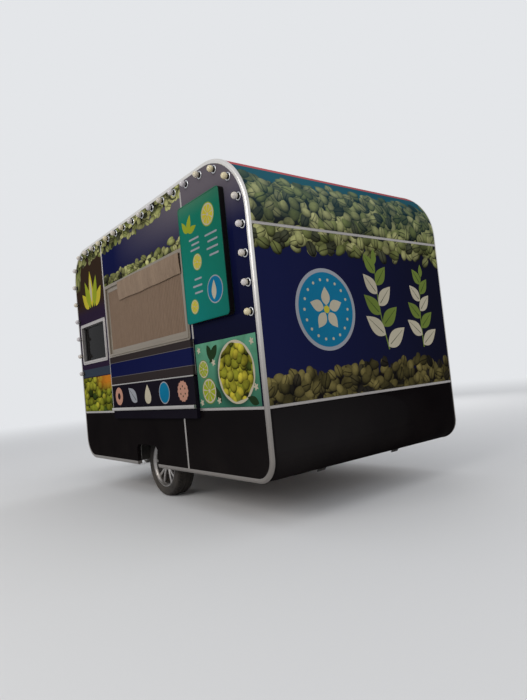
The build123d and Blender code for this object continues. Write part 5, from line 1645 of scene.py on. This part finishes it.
# Floor, world and lamps
backdrop = tint(228, 230, 233)
ground_mesh = bpy.data.meshes.new("studio_floor")
reach = 60.0
ground_mesh.from_pydata(
    [(-reach, -reach, 0), (reach, -reach, 0), (reach, reach, 0), (-reach, reach, 0)], [], [(0, 1, 2, 3)],
)
studio_floor = added("studio_floor", ground_mesh)
paper, paper_tree, paper_shader = blank("studio_paper")
paper_place = paper_tree.place()
fibre = paper_tree.noise(paper_place, 240.0)
paper_tree.put(
    paper_shader.inputs["Base Color"], paper_tree.mix(fibre, tint(214, 214, 215), tint(220, 220, 220)),
)
paper_shader.inputs["Roughness"].default_value = 0.9
paper_shader.inputs["Specular IOR Level"].default_value = 0.1
glow = paper_tree.node("Emission", Color=backdrop, Strength=1.0).outputs[0]
away = paper_tree.ramp(paper_tree.vector("LENGTH", paper_place), 5.0, 19.0, smooth=True)
blend = paper_tree.node("MixShader", Fac=away)
paper_tree.put(blend.inputs[1], paper_shader.outputs[0])
paper_tree.put(blend.inputs[2], glow)
paper_tree.put(paper.node_tree.nodes["Material Output"].inputs["Surface"], blend.outputs[0])
ground_mesh.materials.append(paper)

world = bpy.data.worlds.new("studio_world")
bpy.context.scene.world = world
world.use_nodes = True
world_tree = Tree(world.node_tree)
rays = world_tree.node("LightPath").outputs
seen = world_tree.math(
    "MAXIMUM", rays["Is Camera Ray"],
    world_tree.math("MAXIMUM", rays["Is Glossy Ray"], rays["Is Transmission Ray"]),
)
background = world.node_tree.nodes["Background"]
background.inputs["Color"].default_value = backdrop
world_tree.put(background.inputs["Strength"], world_tree.ramp(seen, 0.0, 1.0, 0.86, 1.0))


def lamp(name, place, aim, width, height, power, colour=(1.0, 1.0, 1.0), mirrored=False):
    """Soft square lamp that faces its aim, seen in gloss only if mirrored."""
    data = bpy.data.lights.new(name, "AREA")
    data.shape, data.size, data.size_y, data.energy, data.color = "RECTANGLE", width, height, power, colour
    made = added(name, data)
    away = np.array(place, float) - np.array(aim, float)
    away /= np.linalg.norm(away)
    right = np.cross((0.0, 0.0, 1.0), away)
    right /= np.linalg.norm(right)
    up = np.cross(away, right)
    where = np.eye(4)
    where[:3, 0], where[:3, 1], where[:3, 2], where[:3, 3] = right, up, away, place
    made.matrix_world = Matrix(where.tolist())
    made.visible_glossy = mirrored


lamp("key_lamp", (-2.0, 8.5, 5.5), (-0.6, 0.5, 1.3), 6.0, 4.0, 300.0, (1.0, 0.97, 0.93), mirrored=True)
lamp("rear_lamp", (-8.5, -1.0, 4.0), (-1.5, 0.0, 1.4), 4.0, 4.0, 70.0, (0.94, 0.96, 1.0))
lamp("far_lamp", (3.5, -8.0, 4.5), (0.0, 0.0, 1.2), 5.0, 4.0, 170.0)

bpy.context.scene.view_settings.view_transform = "Standard"
